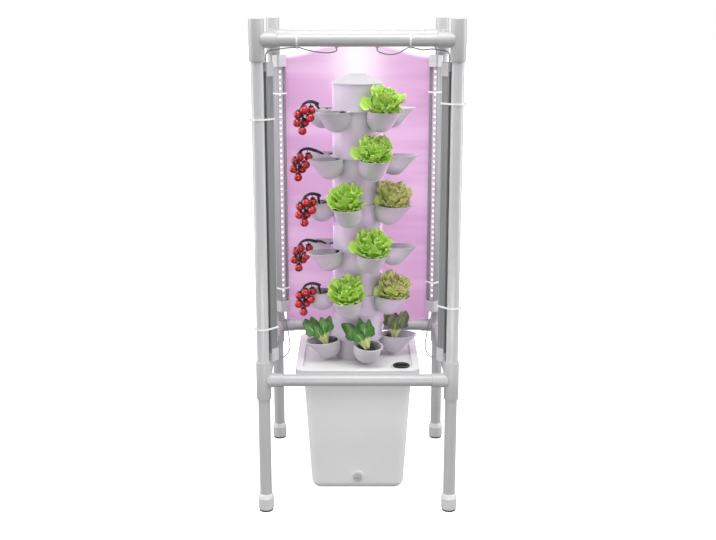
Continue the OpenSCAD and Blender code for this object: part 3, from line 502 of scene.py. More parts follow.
class Finish(Enum):
    """Every finish of the object."""

    PIPE = Moulding("white_pipe", display(188, 188, 189), display(180, 180, 182), 0.28, 500.0, 0.00002, 0.25)
    # The posts' pipe is the pipe finish painted lighter: painted light for the light that falls on them.
    PIPE_PAINTED_LIGHTER = Moulding("white_pipe_painted_lighter", display(202, 202, 203), display(194, 194, 196), 0.28, 500.0, 0.00002, 0.25)
    FITTING = Moulding("white_fitting", display(188, 188, 189), display(180, 180, 182), 0.34, 700.0, 0.00003)
    FOOT = Moulding("foot_moulding", display(218, 218, 219), display(210, 210, 212), 0.4, 700.0, 0.00003)
    # White plastic whose faint lilac cast is painted pink lamp light.
    MOULDED = Moulding("white_moulding", display(202, 198, 204), display(194, 189, 196), 0.42, 800.0, 0.00005)
    # The cap's moulding is the tiers' moulding painted darker, painted shade against the strong light on its
    # top, with the same painted lilac cast.
    CAP_PAINTED_DARKER = Moulding("cap_moulding_painted_darker", display(190, 188, 191), display(183, 181, 184), 0.42, 800.0, 0.00005)
    TANK = Moulding("tank_moulding", display(231, 231, 232), display(225, 225, 226), 0.5, 620.0, 0.00008)
    LID = Moulding("lid_moulding", display(226, 226, 227), display(220, 220, 221), 0.45, 620.0, 0.00006)
    RUBBER = Moulding("dark_rubber", display(62, 62, 64), display(44, 44, 46), 0.82, 420.0, 0.00012)
    BLACK = Moulding("black_moulding", display(44, 44, 46), display(30, 30, 32), 0.5, 640.0, 0.00006)
    BLUE = Moulding("rotor_moulding", display(70, 110, 165), display(50, 86, 140), 0.35)
    MILKY = Moulding("milky_end_cap", display(200, 200, 202), display(184, 184, 187), 0.3, 500.0, 0.00003,
                     0.2)
    NYLON = Moulding("natural_nylon", display(244, 243, 240), display(232, 231, 226), 0.32, 500.0, 0.00003)
    SHEATH = Moulding("lead_sheath", display(142, 143, 144), display(126, 127, 128), 0.5, 800.0, 0.00004)
    GROMMET = Moulding("grommet_rubber", display(196, 196, 198), display(176, 176, 178), 0.7, 500.0, 0.00008)
    CHANNEL = Extrusion("lamp_channel", display(150, 151, 154), display(124, 125, 128))
    LEDS = LedStrip("led_board", display(216, 202, 213), (1.6, 1.45, 1.6))
    COVER = ClearPlastic("clear_cover", display(244, 236, 242))
    # The film's three pinks are painted lamp light from the LED bars.
    FILM = GlowFilm("film_painted_pink_light", display(206, 164, 201), display(196, 146, 190), display(224, 192, 220))
    FOAM = Foam("grow_sponge", display(58, 58, 56), display(26, 26, 25))
    LETTUCE = Leaf("lettuce_leaf", display(216, 246, 118), display(160, 222, 62), display(212, 230, 136),
                   display(232, 250, 170))
    RED_LETTUCE = Leaf("red_lettuce_leaf", display(196, 240, 104), display(190, 214, 112),
                       display(206, 184, 146), display(232, 244, 178))
    PAK_CHOI = Leaf("pak_choi_leaf", display(236, 248, 178), display(50, 132, 38), display(22, 82, 26),
                    display(198, 226, 142), 0.13, 0.85, 0.34, 5.0, (0.3, 0.5), 1.5)
    PURPLE_CHOI = Leaf("purple_choi_leaf", display(236, 248, 178), display(88, 112, 62),
                       display(110, 88, 102), display(196, 214, 140), 0.13, 0.85, 0.34, 5.0, (0.3, 0.5), 1.5)
    TOMATO = Fruit("tomato_skin", display(196, 24, 34), display(140, 8, 22))
    STEM = Stalk("tomato_stem", display(46, 60, 44), display(20, 26, 22))


@cache
def material_of(finish: Finish) -> bpy.types.Material:
    """Builds a finish's material at its first use."""
    return finish.value.material()


def dress(finish: Finish, *nodes: str) -> None:
    """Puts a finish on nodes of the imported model.

    Args:
        finish: The finish.
        *nodes: The nodes' names.
    """
    for name in nodes:
        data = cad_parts[name].data
        data.materials.clear()
        data.materials.append(material_of(finish))


def add_object(name: str, data: bpy.types.ID) -> bpy.types.Object:
    """Puts an object at the scene's origin.

    Args:
        name: Its name.
        data: Its mesh, curve, light or camera.

    Returns:
        The object.
    """
    made = bpy.data.objects.new(name, data)
    bpy.context.scene.collection.objects.link(made)
    return made


def turn_to(heading: Sequence[float]) -> Matrix:
    """Turns +Z along a heading."""
    return Vector(heading).to_track_quat("Z", "Y").to_matrix().to_4x4()


def axial(point: Sequence[float], heading: Sequence[float] = (0, 0, 1)) -> Matrix:
    """Moves the origin to a point in millimetres and turns +Z along a heading."""
    return Matrix.Translation(Vector(point) * MM) @ turn_to(heading)


def smooth_line(points: Sequence[Vector], steps: int = 4) -> list[Vector]:
    """Draws a smooth line through points.

    Args:
        points: The points.
        steps: The number of parts between two points.

    Returns:
        The line's points.
    """
    line = []
    for i in range(len(points) - 1):
        a, b, c, d = (points[min(max(i + k, 0), len(points) - 1)] for k in (-1, 0, 1, 2))
        for step in range(steps):
            t = step / steps
            line.append(0.5 * (2 * b + (c - a) * t + (2 * a - 5 * b + 4 * c - d) * t ** 2
                               + (3 * b - a - 3 * c + d) * t ** 3))
    return [*line, points[-1]]


class Piece:
    """A mesh under construction, which ends as one object at the origin."""

    def __init__(self, name: str) -> None:
        """Starts an empty mesh with a map.

        Args:
            name: The piece's name.
        """
        self.name = name
        self.mesh = bmesh.new()
        self.mesh.loops.layers.uv.new("UVMap")

    def added(self, work: Callable[[], object]) -> Verts:
        """Runs one step and finds what it made.

        Args:
            work: The step.

        Returns:
            The vertices that are new.
        """
        before = set(self.mesh.verts)
        work()
        return [vert for vert in self.mesh.verts if vert not in before]

    def move(self, verts: Verts, matrix: Matrix) -> None:
        """Moves vertices by a matrix."""
        bmesh.ops.transform(self.mesh, matrix=matrix, verts=verts)

    def tidy(self, verts: Verts) -> None:
        """Closes poles and seams, and turns the faces outwards.

        Args:
            verts: The vertices of the shape.
        """
        bmesh.ops.remove_doubles(self.mesh, verts=verts, dist=MERGE_DISTANCE)
        faces = {face for vert in verts if vert.is_valid for face in vert.link_faces}
        bmesh.ops.recalc_face_normals(self.mesh, faces=list(faces))

    def block(self, size: Point, matrix: Matrix) -> Verts:
        """Adds a block.

        Args:
            size: Its sides, in millimetres.
            matrix: Where it goes.

        Returns:
            The new vertices.
        """
        verts = self.added(lambda: bmesh.ops.create_cube(self.mesh, size=1.0))
        self.move(verts, matrix @ Matrix.Diagonal([*(side * MM for side in size), 1.0]))
        return verts

    def revolve(self, profile: Profile, matrix: Matrix, steps: int = 48, closed: bool = True) -> None:
        """Spins a profile about +Z.

        Args:
            profile: Points as radius and height, in millimetres.
            matrix: Where the shape goes.
            steps: Sides of the full turn.
            closed: Whether the last point joins the first.
        """
        def spin() -> None:
            """Draws the profile and spins it."""
            verts = [self.mesh.verts.new((r * MM, 0.0, z * MM)) for r, z in profile]
            pairs = list(zip(verts, verts[1:])) + ([(verts[-1], verts[0])] if closed else [])
            edges = [self.mesh.edges.new(pair) for pair in pairs]
            bmesh.ops.spin(self.mesh, geom=[*verts, *edges], cent=(0, 0, 0), axis=(0, 0, 1), dvec=(0, 0, 0),
                           angle=math.tau, steps=steps, use_merge=True, use_duplicate=False)

        verts = self.added(spin)
        self.tidy(verts)
        self.move([vert for vert in verts if vert.is_valid], matrix)

    def tube(self, points: Sequence[Vector], radii: Sequence[float], sides: int) -> None:
        """Bridges rings along a line.

        Args:
            points: The line's points, in metres.
            radii: The radius at each point.
            sides: Sides of each ring.
        """
        loops: list[list[bmesh.types.BMEdge]] = []
        made: Verts = []
        for i, (point, radius) in enumerate(zip(points, radii)):
            ahead = points[min(i + 1, len(points) - 1)] - points[max(i - 1, 0)]
            ring = bmesh.ops.create_circle(
                self.mesh, cap_ends=i in (0, len(points) - 1), segments=sides, radius=radius,
                matrix=Matrix.Translation(point) @ turn_to(ahead))["verts"]
            made += ring
            loops.append(list({edge for vert in ring for edge in vert.link_edges}))
        for first, second in zip(loops, loops[1:]):
            bmesh.ops.bridge_loops(self.mesh, edges=[*first, *second])
        self.tidy(made)

    def finish(self, finish: Finish, body: str, slot: str, nodes: Iterable[str], sharp: float = 40.0,
               wall: float = 0.0) -> None:
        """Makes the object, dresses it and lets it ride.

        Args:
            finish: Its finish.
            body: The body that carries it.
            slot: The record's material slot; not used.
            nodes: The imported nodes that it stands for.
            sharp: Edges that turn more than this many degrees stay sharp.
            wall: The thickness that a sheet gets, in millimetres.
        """
        data = bpy.data.meshes.new(self.name)
        self.mesh.to_mesh(data)
        self.mesh.free()
        data.materials.append(material_of(finish))
        data.shade_smooth()
        data.set_sharp_from_angle(angle=math.radians(sharp))
        made = add_object(self.name, data)
        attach(made, body)
        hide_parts(*nodes)
        if wall:
            sheet = made.modifiers.new("thickness", "SOLIDIFY")
            sheet.thickness = wall * MM
            sheet.offset = 0.0
        LOG.info("%s: %d faces on %s", self.name, len(data.polygons), body)


@dataclass
class PipeFrame:
    """The four legs, the posts, the rails and the fittings that join them."""

    half: float = 250.0
    pipe_radius: float = 16.0
    play: float = 0.15
    barrel_radius: float = 19.55
    socket_radius: float = 18.35
    socket_start: float = 10.0
    fitting_half: float = 52.0
    flare_length: float = 18.0
    flare_ease: float = 4.0
    lip_round: float = 1.2
    rail_heights: dict[str, float] = field(default_factory=lambda: {"lower": 374.0, "upper": 1263.0})
    pad_height: float = 4.0
    cap_radius: float = 20.15
    cap_height: float = 45.0
    cap_floor: float = 6.0
    cap_lip: float = 1.6
    cap_sides: int = 64
    ring_height: float = 30.0
    flutes: int = 40
    flute_size: Point = (1.1, 1.5, 22.0)
    flute_middle: float = 14.5

    def lip(self, radius: float, start: float, end: float) -> Profile:
        """Draws the wall of a socket with rounded lips at both ends.

        Args:
            radius: Its outer radius.
            start: Where it starts.
            end: Where it ends.

        Returns:
            A closed profile.
        """
        inner, r = self.pipe_radius + self.play, self.lip_round
        outside = [(radius - r + r * math.cos(math.radians(first + step)),
                    centre + r * math.sin(math.radians(first + step)))
                   for centre, first in ((start + r, 270), (end - r, 0)) for step in (0, 30, 60, 90)]
        return [(inner, start), *outside, (inner, end)]

    def fittings(self, level: str) -> None:
        """Builds the four fittings of one level.

        Args:
            level: The level's name.
        """
        piece = Piece(f"{level}_fittings")
        size, start, ease = self.fitting_half, self.socket_start, self.flare_ease
        root, mouth, end = self.barrel_radius, self.socket_radius, self.barrel_radius + self.flare_length
        socket = self.lip(mouth, start, size)
        socket[1:5] = [(root - 0.2, start), (root - 0.2, root), (root - 0.5, root + ease),
                       (mouth + 0.25, end - ease), (mouth, end)]
        for sx, sy in CORNERS:
            place = (sx * self.half, sy * self.half, self.rail_heights[level])
            piece.revolve(self.lip(root, -size, size), axial(place))
            for heading in ((-sx, 0, 0), (0, -sy, 0)):
                piece.revolve(socket, axial(place, heading))
        piece.finish(Finish.FITTING, STAND, "white_pipe", [f"{level}_corners"])

    def foot_caps(self) -> None:
        """Builds the fluted foot caps, each with a ring and a rounded mouth."""
        piece = Piece("fluted_foot_caps")
        r, top, ring, floor = self.cap_radius, self.cap_height, self.ring_height, self.cap_floor
        inner = self.pipe_radius + self.play
        mouth = inner + self.cap_lip
        profile = [
            (0.0, 0.0), (r - 2.0, 0.0), (r - 0.6, 0.7), (r, 2.0), (r, ring - 1.5), (r + 0.2, ring - 0.4),
            (r + 1.0, ring), (r + 1.2, ring + 0.6), (r + 1.2, ring + 3.2), (r + 0.9, ring + 4.0),
            (r, ring + 4.2), (mouth + 0.3, top - 1.2), (mouth - 0.2, top - 0.3), (mouth - 0.7, top),
            (inner, top), (inner, floor), (0.0, floor)]
        for sx, sy in CORNERS:
            where = axial((sx * self.half, sy * self.half, self.pad_height))
            piece.revolve(profile, where, self.cap_sides, False)
            for i in range(self.flutes):
                turn = Matrix.Rotation(math.tau * i / self.flutes, 4, "Z")
                out = Matrix.Translation((r * MM, 0, self.flute_middle * MM))
                piece.block(self.flute_size, where @ turn @ out)
        piece.finish(Finish.FOOT, STAND, "white_pipe", ["foot_caps"])

    def build(self) -> None:
        """Builds and dresses the frame."""
        for level in self.rail_heights:
            self.fittings(level)
        self.foot_caps()
        rails = [f"{level}_{side}_rail" for level in self.rail_heights
                 for side in ("front", "right", "rear", "left")]
        dress(Finish.PIPE, "legs", "corner_plugs", *rails)
        dress(Finish.PIPE_PAINTED_LIGHTER, "posts")
        dress(Finish.RUBBER, "foot_pads")
        dress(Finish.FILM, "reflector_panel")


@dataclass
class Lamps:
    """The four LED bars, their ties and their leads."""

    half: float = 250.0
    lamp_top: float = 1208.0
    lamp_bottom: float = 426.3
    lead_start: float = 230.48
    lead_height: float = 1245.1
    rail_height: float = 1263.0
    lower_rail: float = 374.0
    rear_face: float = 232.1
    diameter: float = 3.0
    grommet_face: float = 19.5
    straight: float = 5.0
    leg_grommet: float = 275.0

    def rear_point(self, x: float, turn: float, out: float) -> Point:
        """Gives a point on the axis of a grommet in the rear rail.

        Args:
            x: The grommet's place along X.
            turn: Its turn from the top of the rail towards the tower, in degrees.
            out: The distance from the rail's centre.

        Returns:
            The point, in millimetres.
        """
        angle = math.radians(turn)
        return x, self.half - out * math.sin(angle), self.rail_height + out * math.cos(angle)

    def routes(self) -> dict[str, list[Point]]:
        """Lays out every lead from its lamp to its grommet.

        Returns:
            The points of each lead, in millimetres.
        """
        # Upper leads start at s across and t high. The upper rails lie r high, the front one at f.
        # A lead runs at height h below the front rail and at y before the rear one.
        s, t, h, r, f = self.lead_start, self.lamp_top, self.lead_height, self.rail_height, -self.half
        y, low, out = self.rear_face, self.lower_rail, self.grommet_face
        leg = self.half - out / math.sqrt(2)
        lower = [
            (s, s, self.lamp_bottom), (s, s, self.lamp_bottom - 12), (s - 4.5, s - 3.5, low + 28),
            (222, s - 4, low + 12), (218, s - 4.5, low - 8), (214, s - 4.5, low - 32),
            (212, s - 3.5, low - 52), (212, s - 2.5, low - 68), (216, s - 1.5, low - 81),
            (223, s - 0.5, low - 91), (228.5, leg - 6.5, self.leg_grommet + 2.5),
            (leg - 4, leg - 4, self.leg_grommet), (leg, leg, self.leg_grommet)]
        return {
            "front_right_lead": [
                (s, -s, t), (s, -s, t + 12), (s - 2, -s - 2, t + 22), (s - 10.5, -s - 7.5, t + 27.5),
                (206, f + 7, h - 6.6), (194, f + 3, h - 4.6), (180, f + 0.5, h - 4), (164, f, h - 6),
                (148, f, h - 3), (135, f, h), (127, f, h), (114, f, h - 7), (98, f, h - 15), (78, f, h - 17),
                (62, f, h - 14), (53, f, h - 10.6), (49, f, r - out - self.straight), (49, f, r - out)],
            "front_left_lead": [
                (-s, -s, t), (-s, -s, t + 12), (-s + 2, -s - 2, t + 22), (-s + 10.5, -s - 7.5, t + 28),
                (-206, f + 7, h - 6), (-194, f + 3, h - 4), (-178, f + 0.5, h - 1.6), (-164, f, h - 0.5),
                (-154, f, h), (-146, f, h), (-132, f, h - 4), (-112, f, h - 9), (-92, f, h - 12),
                (-74, f, h - 13), (-62, f, h - 11.5), (-56, f, h - 10), (-52, f, r - out - self.straight),
                (-52, f, r - out)],
            "rear_left_lead": [
                (-s, s, t), (-s, s, t + 14), (-s + 1.5, s - 1.5, r - 23), (-s + 4.5, s - 4.5, r - 7),
                (-216, y - 5.5, r + 5), (-204, y - 5, r + 3), (-196, y - 4, r - 5), (-189, y - 2, r - 12),
                (-180, y - 1, r - 10), (-166, y - 0.5, r - 3), (-156, y, r), (-148, y, r),
                (-136, y - 2, r - 5), (-120, y - 6, r - 10), (-106, y - 10, r - 8), (-97, y - 9.6, r - 4),
                self.rear_point(-92, 90, out + self.straight), self.rear_point(-92, 90, out)],
            "rear_right_lead": [
                (s, s, t), (s, s, t + 12), (s - 3, s - 0.5, t + 22), (s - 11.5, s - 1.5, t + 29),
                (s - 22.5, s - 2, t + 32), (197, s - 1, r - 22), (189.5, s + 0.5, r - 20),
                self.rear_point(186, 135, out + self.straight), self.rear_point(186, 135, out)],
            "lower_right_lead": lower,
            "lower_left_lead": [(-px, py, pz) for px, py, pz in lower],
        }

    def lead(self, node: str, route: list[Point]) -> None:
        """Lays one lead along its route.

        Args:
            node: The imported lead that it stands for.
            route: Its points, in millimetres.
        """
        data = bpy.data.curves.new(f"{node}_sheath", "CURVE")
        data.dimensions = "3D"
        data.bevel_depth = self.diameter / 2 * MM
        data.bevel_resolution = 4
        data.resolution_u = 8
        data.use_fill_caps = True
        spline = data.splines.new("BEZIER")
        spline.bezier_points.add(len(route) - 1)
        for knot, point in zip(spline.bezier_points, route):
            knot.co = Vector(point) * MM
            knot.handle_left_type = knot.handle_right_type = "AUTO"
        data.materials.append(material_of(Finish.SHEATH))
        made = add_object(f"{node}_sheath", data)
        bpy.context.view_layer.update()
        length = spline.calc_length()
        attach(made, STAND)
        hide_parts(node)
        [value * MM for value in route[0]]
        LOG.info("%s: %.0f mm long", made.name, length / MM)

    def build(self) -> None:
        """Builds the leads and dresses the lamps."""
        for node, route in self.routes().items():
            self.lead(node, route)
        dress(Finish.CHANNEL, "lamp_channels")
        dress(Finish.LEDS, "led_boards")
        dress(Finish.COVER, "lamp_covers")
        dress(Finish.MILKY, "lamp_end_caps")
        dress(Finish.NYLON, "cable_ties")
        dress(Finish.GROMMET, "lead_grommets")


@dataclass
class Tank:
    """The water tank with its lid, caps and pump."""

    filler: Point = (122.0, -122.0, 369.0)
    cap_radius: float = 23.5
    cap_sides: int = 56
    plug_radius: float = 19.7
    plug_depth: float = 14.0
    plug_edge: float = 1.2
    rim_height: float = 4.0
    hollow: float = 3.2
    grip_size: Point = (32.0, 5.0, 5.0)
    grip_edge: float = 1.4
    grip_height: float = 5.4

    def filler_cap(self) -> None:
        """Builds the filler cap: a plug, a rim and a rounded grip."""
        piece = Piece("filler_cap_knob")
        where = axial(self.filler)
        r, plug, depth, slant = self.cap_radius, self.plug_radius, self.plug_depth, self.plug_edge
        rim, hollow = self.rim_height, self.hollow
        piece.revolve([
            (0.0, -depth), (plug - slant, -depth), (plug, slant - depth), (plug, 0.0), (r - 0.6, 0.0),
            (r, 0.6), (r, 2.6), (r - 0.5, 3.6), (r - 1.6, rim), (r - 4.0, rim), (r - 4.8, hollow),
            (0.0, hollow)], where, self.cap_sides, False)
        grip = piece.block(self.grip_size, Matrix.Identity(4))
        edges = list({edge for vert in grip for edge in vert.link_edges})
        rounded = bmesh.ops.bevel(piece.mesh, geom=edges, offset=self.grip_edge * MM, offset_type="OFFSET",
                                  segments=3, profile=0.5, affect="EDGES", material=-1)["verts"]
        grip = list({*[vert for vert in grip if vert.is_valid], *rounded})
        piece.move(grip, where @ Matrix.Translation((0, 0, self.grip_height * MM)))
        piece.finish(Finish.BLACK, "filler_cap", "black_plastic", ["filler_cap"])

    def build(self) -> None:
        """Builds and dresses the tank."""
        self.filler_cap()
        dress(Finish.TANK, "tank_body")
        dress(Finish.LID, "tank_lid")
        dress(Finish.FITTING, "drain_plug")
        dress(Finish.MOULDED, "riser_pipe", "distributor")
        dress(Finish.RUBBER, "lid_seal", "drain_washer", "pump_feet_cups")
        dress(Finish.BLACK, "pump_body", "pump_screen")
        dress(Finish.BLUE, "pump_impeller")


@dataclass
class Tower:
    """The six tiers, their cap and the sponges."""

    top: float = 1140.0
    spigot_radius: float = 66.1
    spigot_bore: float = 63.1
    spigot_length: float = 12.0
    brim_radius: float = 72.6
    brim_height: float = 4.0
    brim_gap: float = 0.1
    dome_base: float = 70.0
    dome_height: float = 20.0
    dome_flat: float = 24.5
    dome_steps: int = 12
    button_height: float = 2.2
    button_edge: float = 0.8
    cap_wall: float = 3.0
    cap_sides: int = 96

    def dome(self, radius: float) -> float:
        """Gives the height of the cap's dome above the brim's underside.

        Args:
            radius: The distance from the tower's axis.

        Returns:
            The height, in millimetres.
        """
        drop = (self.dome_base ** 2 - self.dome_flat ** 2 - self.dome_height ** 2) / (2 * self.dome_height)
        ball = math.hypot(self.dome_base, drop)
        return self.brim_height - drop + math.sqrt(ball ** 2 - radius ** 2)

    def cap(self) -> None:
        """Builds the cap: a rounded brim, a dome and a low button on top."""
        piece = Piece("domed_cap")
        span = self.dome_base - 1.0 - self.dome_flat
        radii = [self.dome_flat + span * i / self.dome_steps for i in range(self.dome_steps + 1)]
        flat, wall, lip, gap = self.dome(self.dome_flat), self.cap_wall, self.brim_radius, self.brim_gap
        bore, spigot, foot = self.spigot_bore, self.spigot_radius, -self.spigot_length
        button, edge = flat + self.button_height, self.button_edge
        piece.revolve([
            (0.0, flat - wall), *((r, self.dome(r) - wall) for r in radii if r < bore),
            (bore, self.dome(bore) - wall), (bore, foot), (spigot, foot), (spigot, gap),
            (lip - 1.0, gap), (lip - 0.3, 0.4), (lip, 1.2), (lip, 2.8), (lip - 0.4, 3.7), (lip - 1.4, 4.2),
            *((r, self.dome(r)) for r in reversed(radii)),
            (self.dome_flat, button - edge), (self.dome_flat - edge, button), (0.0, button)],
            axial((0, 0, self.top)), self.cap_sides, False)
        piece.finish(Finish.CAP_PAINTED_DARKER, "top_cap", "white_moulding", ["top_cap"])

    def build(self) -> None:
        """Dresses the tiers and builds the cap."""
        for tier in range(1, TIERS + 1):
            dress(Finish.MOULDED, f"tier_{tier}")
            dress(Finish.FOAM, f"tier_{tier}_sponges")
        self.cap()


class Tip(Enum):
    """How a leaf ends: the power of its outline's fall."""

    BLUNT = 4.0
    POINTED = 1.3


@dataclass(frozen=True)
class LeafForm:
    """The shape of one leaf, in millimetres and shares of its length or width."""

    length: float
    width: float
    stalk: float
    widest: float
    cup: float
    curl: float
    ruffle: float
    waves: float
    tip: Tip = Tip.BLUNT
    start: float = 0.15
    columns: int = 26
    rows: int = 28


def smooth_step(value: float) -> float:
    """Goes smoothly from 0 to 1."""
    value = min(1.0, max(0.0, value))
    return value * value * (3.0 - 2.0 * value)


class LeafMaker:
    """Draws leaves into a piece."""

    def __init__(self, piece: Piece, seed: int) -> None:
        """Keeps the piece and its own run of chance."""
        self.piece = piece
        self.chance = random.Random(seed)

    def half_width(self, form: LeafForm, along: float) -> float:
        """Gives half the leaf's width at a place along it.

        Args:
            form: The leaf.
            along: The place, from 0 at the foot to 1 at the tip.

        Returns:
            Half the width, in millimetres.
        """
        if along < form.widest:
            share = smooth_step((along - form.start) / (form.widest - form.start))
            return 0.5 * (form.stalk + (form.width - form.stalk) * share)
        fall = (along - form.widest) / (1.0 - form.widest)
        return 0.5 * form.width * max(0.06, 1.0 - 0.9 * fall ** form.tip.value) ** 0.7

    def leaf(self, form: LeafForm, matrix: Matrix) -> None:
        """Draws one leaf that grows along +Z and faces +Y.

        Args:
            form: Its shape.
            matrix: Where it goes.
        """
        phase = self.chance.uniform(0, math.tau)
        lean = self.chance.uniform(-0.1, 0.1)
        verts = self.piece.added(lambda: bmesh.ops.create_grid(
            self.piece.mesh, x_segments=form.columns, y_segments=form.rows, size=0.5, calc_uvs=True))
        for vert in verts:
            side, along = 2.0 * vert.co.x, vert.co.y + 0.5
            half = self.half_width(form, along)
            margin = max(abs(side) ** 1.6 * smooth_step((along - 0.12) / 0.4),
                         smooth_step((along - 0.62) / 0.38))
            around = math.atan2(side * half, form.length * (along - 0.42)) * form.waves
            wave = math.sin(around + phase) + 0.6 * math.sin(2.3 * around + 2 * phase)
            blister = noise.noise(Vector((side * 3.0, along * 6.0, phase)))
            round_off = 0.42 * half * side * side * smooth_step(along * 1.3)
            frill = 1.0 + 0.04 * math.sin(2.7 * around + phase) * margin
            x = side * half * frill + lean * form.length * along * along
            y = form.cup * half * side * side - form.curl * form.length * along ** 2.6
            y += form.ruffle * (wave * margin + 0.5 * blister * along)
            z = (form.length * along - round_off) * frill
            vert.co = matrix @ (Vector((x, y, z)) * MM)


@dataclass
class Plants:
    """The lettuces, the pak choi and the tomato trusses of every tier."""

    foot: float = 366.0
    pitch: float = 129.0
    rim: float = 60.0
    base_radius: float = 104.9
    base_drop: float = 13.9
    leaf_lift: float = 2.0
    lettuces: tuple[tuple[float, ...], ...] = ((38,), (23.6,), (-14, 58), (20,), (-14, 58), ())
    red_angle: float = 58.0
    lettuce_seed: int = 1000
    lettuce_lean: float = 17.0
    lettuce_foot: float = 7.0
    lettuce_wall: float = 0.6
    lettuce_leaf: LeafForm = LeafForm(80.0, 60.0, 22.0, 0.70, 0.14, 0.08, 3.0, 9.0, Tip.BLUNT, 0.05, 36, 34)
    rings: tuple[tuple[int, float, float, float, float], ...] = (
        (6, 27.0, 80.0, 60.0, 0.08), (5, 17.0, 78.0, 56.0, 0.02), (4, 7.0, 75.0, 47.0, -0.03))
    skirt_leaf: LeafForm = LeafForm(56.0, 50.0, 20.0, 0.66, 0.12, 0.12, 3.0, 9.0, Tip.BLUNT, 0.05, 36, 34)
    skirt: tuple[float, ...] = (-1.5, -0.75, 0.0, 0.75, 1.5)
    skirt_tilt: float = 48.0
    small_leaf: LeafForm = LeafForm(74.0, 36.0, 10.0, 0.76, 0.3, 0.05, 1.6, 5.0, Tip.BLUNT, 0.42)
    small_red_length: float = 55.0
    small_lean: float = 50.0
    small_tilt: float = 4.0
    small_foot: float = -8.0
    pak_chois: tuple[tuple[str, float], ...] = (("left", -57), ("middle", 15), ("right", 87))
    pak_choi_seed: int = 500
    pak_choi_width: float = 0.46
    pak_choi_foot: float = 4.0
    pak_choi_wall: float = 1.2
    pak_choi_leaf: LeafForm = LeafForm(90.0, 41.4, 11.0, 0.66, 0.34, 0.05, 1.1, 5.0, Tip.POINTED, 0.36)
    fans: dict[str, tuple[tuple[float, float], ...]] = field(default_factory=lambda: {
        "left": ((50, 93), (38, 91), (25, 85), (11, 80), (-4, 78), (30, 70)),
        "middle": ((46, 98), (34, 91), (21, 84), (8, 79), (-7, 78), (26, 72)),
        "right": ((9, 79), (3, 78), (-5, 78), (-17, 81), (-29, 86), (-8, 70))})
    fan_tilts: tuple[float, ...] = (7.0, -6.0, 9.0, -3.0, 6.0, -14.0)
    trusses: tuple[Point, ...] = (
        (-106, -62, 2), (-120.4, -75, 0), (-86, -60, 10), (-124, -78, 0), (-86, -64, 12))
    truss_seed: int = 70
    fruits: tuple[Point, ...] = ((164, 6, 2), (138, -5, -1), (150, 13, -19), (180, -7, -33),
                                 (155, -10, -34), (170, 4, -54), (173, -16, -12))
    stem: tuple[Point, ...] = ((145, -2, 24), (163, -10, 12), (166, -2, -16), (168, -2, -42))
    joints: tuple[int, ...] = (1, 0, 2, 2, 2, 3, 1)
    stem_steps: tuple[float, ...] = (0.0, 0.12, 0.28, 0.45, 0.62, 0.8)
    stem_rise: float = 32.0
    stem_reach: float = 17.0
    stem_radius: float = 2.2
    tomato_radius: float = 12.0
    tomato_flatness: float = 0.95
    dimple_depth: float = 0.16
    dimple_width: float = 0.45
    stalk_sink: float = 0.6
    stalk_rise: float = 4.0
    stalk_bow: float = 3.0
    stalk_radii: tuple[float, ...] = (1.3, 1.2, 1.2, 1.4)
    sepals: int = 5
    sepal_points: tuple[tuple[float, float], ...] = ((0.35, 0.4), (0.75, 1.0), (1.1, 2.4))
    sepal_radii: tuple[float, ...] = (1.4, 2.2, 1.5, 0.4)

    def rim_height(self, tier: int) -> float:
        """Gives the height of a tier's rim, in millimetres."""
        return self.foot + (TIERS - tier) * self.pitch + self.rim

    def root(self, tier: int, angle: float, lean: float) -> Matrix:
        """Stands a plant on its sponge, with +Z up the plant and +X away from the column.

        Args:
            tier: The tier, 1 on top.
            angle: The pocket's angle from the front, to the right, in degrees.
            lean: How far the plant leans out, in degrees.

        Returns:
            The matrix.
        """
        turn = Matrix.Rotation(math.radians(angle - 90), 4, "Z")
        place = Vector((self.base_radius, 0, self.rim_height(tier) - self.base_drop)) * MM
        return turn @ Matrix.Translation(place) @ Matrix.Rotation(math.radians(lean), 4, "Y")

    def stand(self, maker: LeafMaker, root: Matrix, form: LeafForm, turn: float, tilt: float,
              out: float) -> None:
        """Stands one leaf on its plant.

        Args:
            maker: What draws the leaf.
            root: The plant's place.
            form: The leaf's shape.
            turn: The side that it leans to, in radians.
            tilt: How far it leans, in degrees.
            out: The distance of its foot from the plant's axis, in millimetres.
        """
        foot = Matrix.Rotation(turn, 4, "Z") @ Matrix.Translation((0, -out * MM, self.leaf_lift * MM))
        maker.leaf(form, root @ foot @ Matrix.Rotation(math.radians(tilt), 4, "X"))

    def facing(self, tier: int, angle: float, lean: float) -> Matrix:
        """Stands a leaf on a plant's foot so that it faces the front.

        Args:
            tier: The tier, 1 on top.
            angle: The pocket's angle.
            lean: How far it leans to the left, in degrees.

        Returns:
            The matrix.
        """
        foot = self.root(tier, angle, 0).translation
        front = Matrix.Rotation(-math.pi / 2, 4, "Z")
        return Matrix.Translation(foot) @ front @ Matrix.Rotation(math.radians(lean), 4, "X")

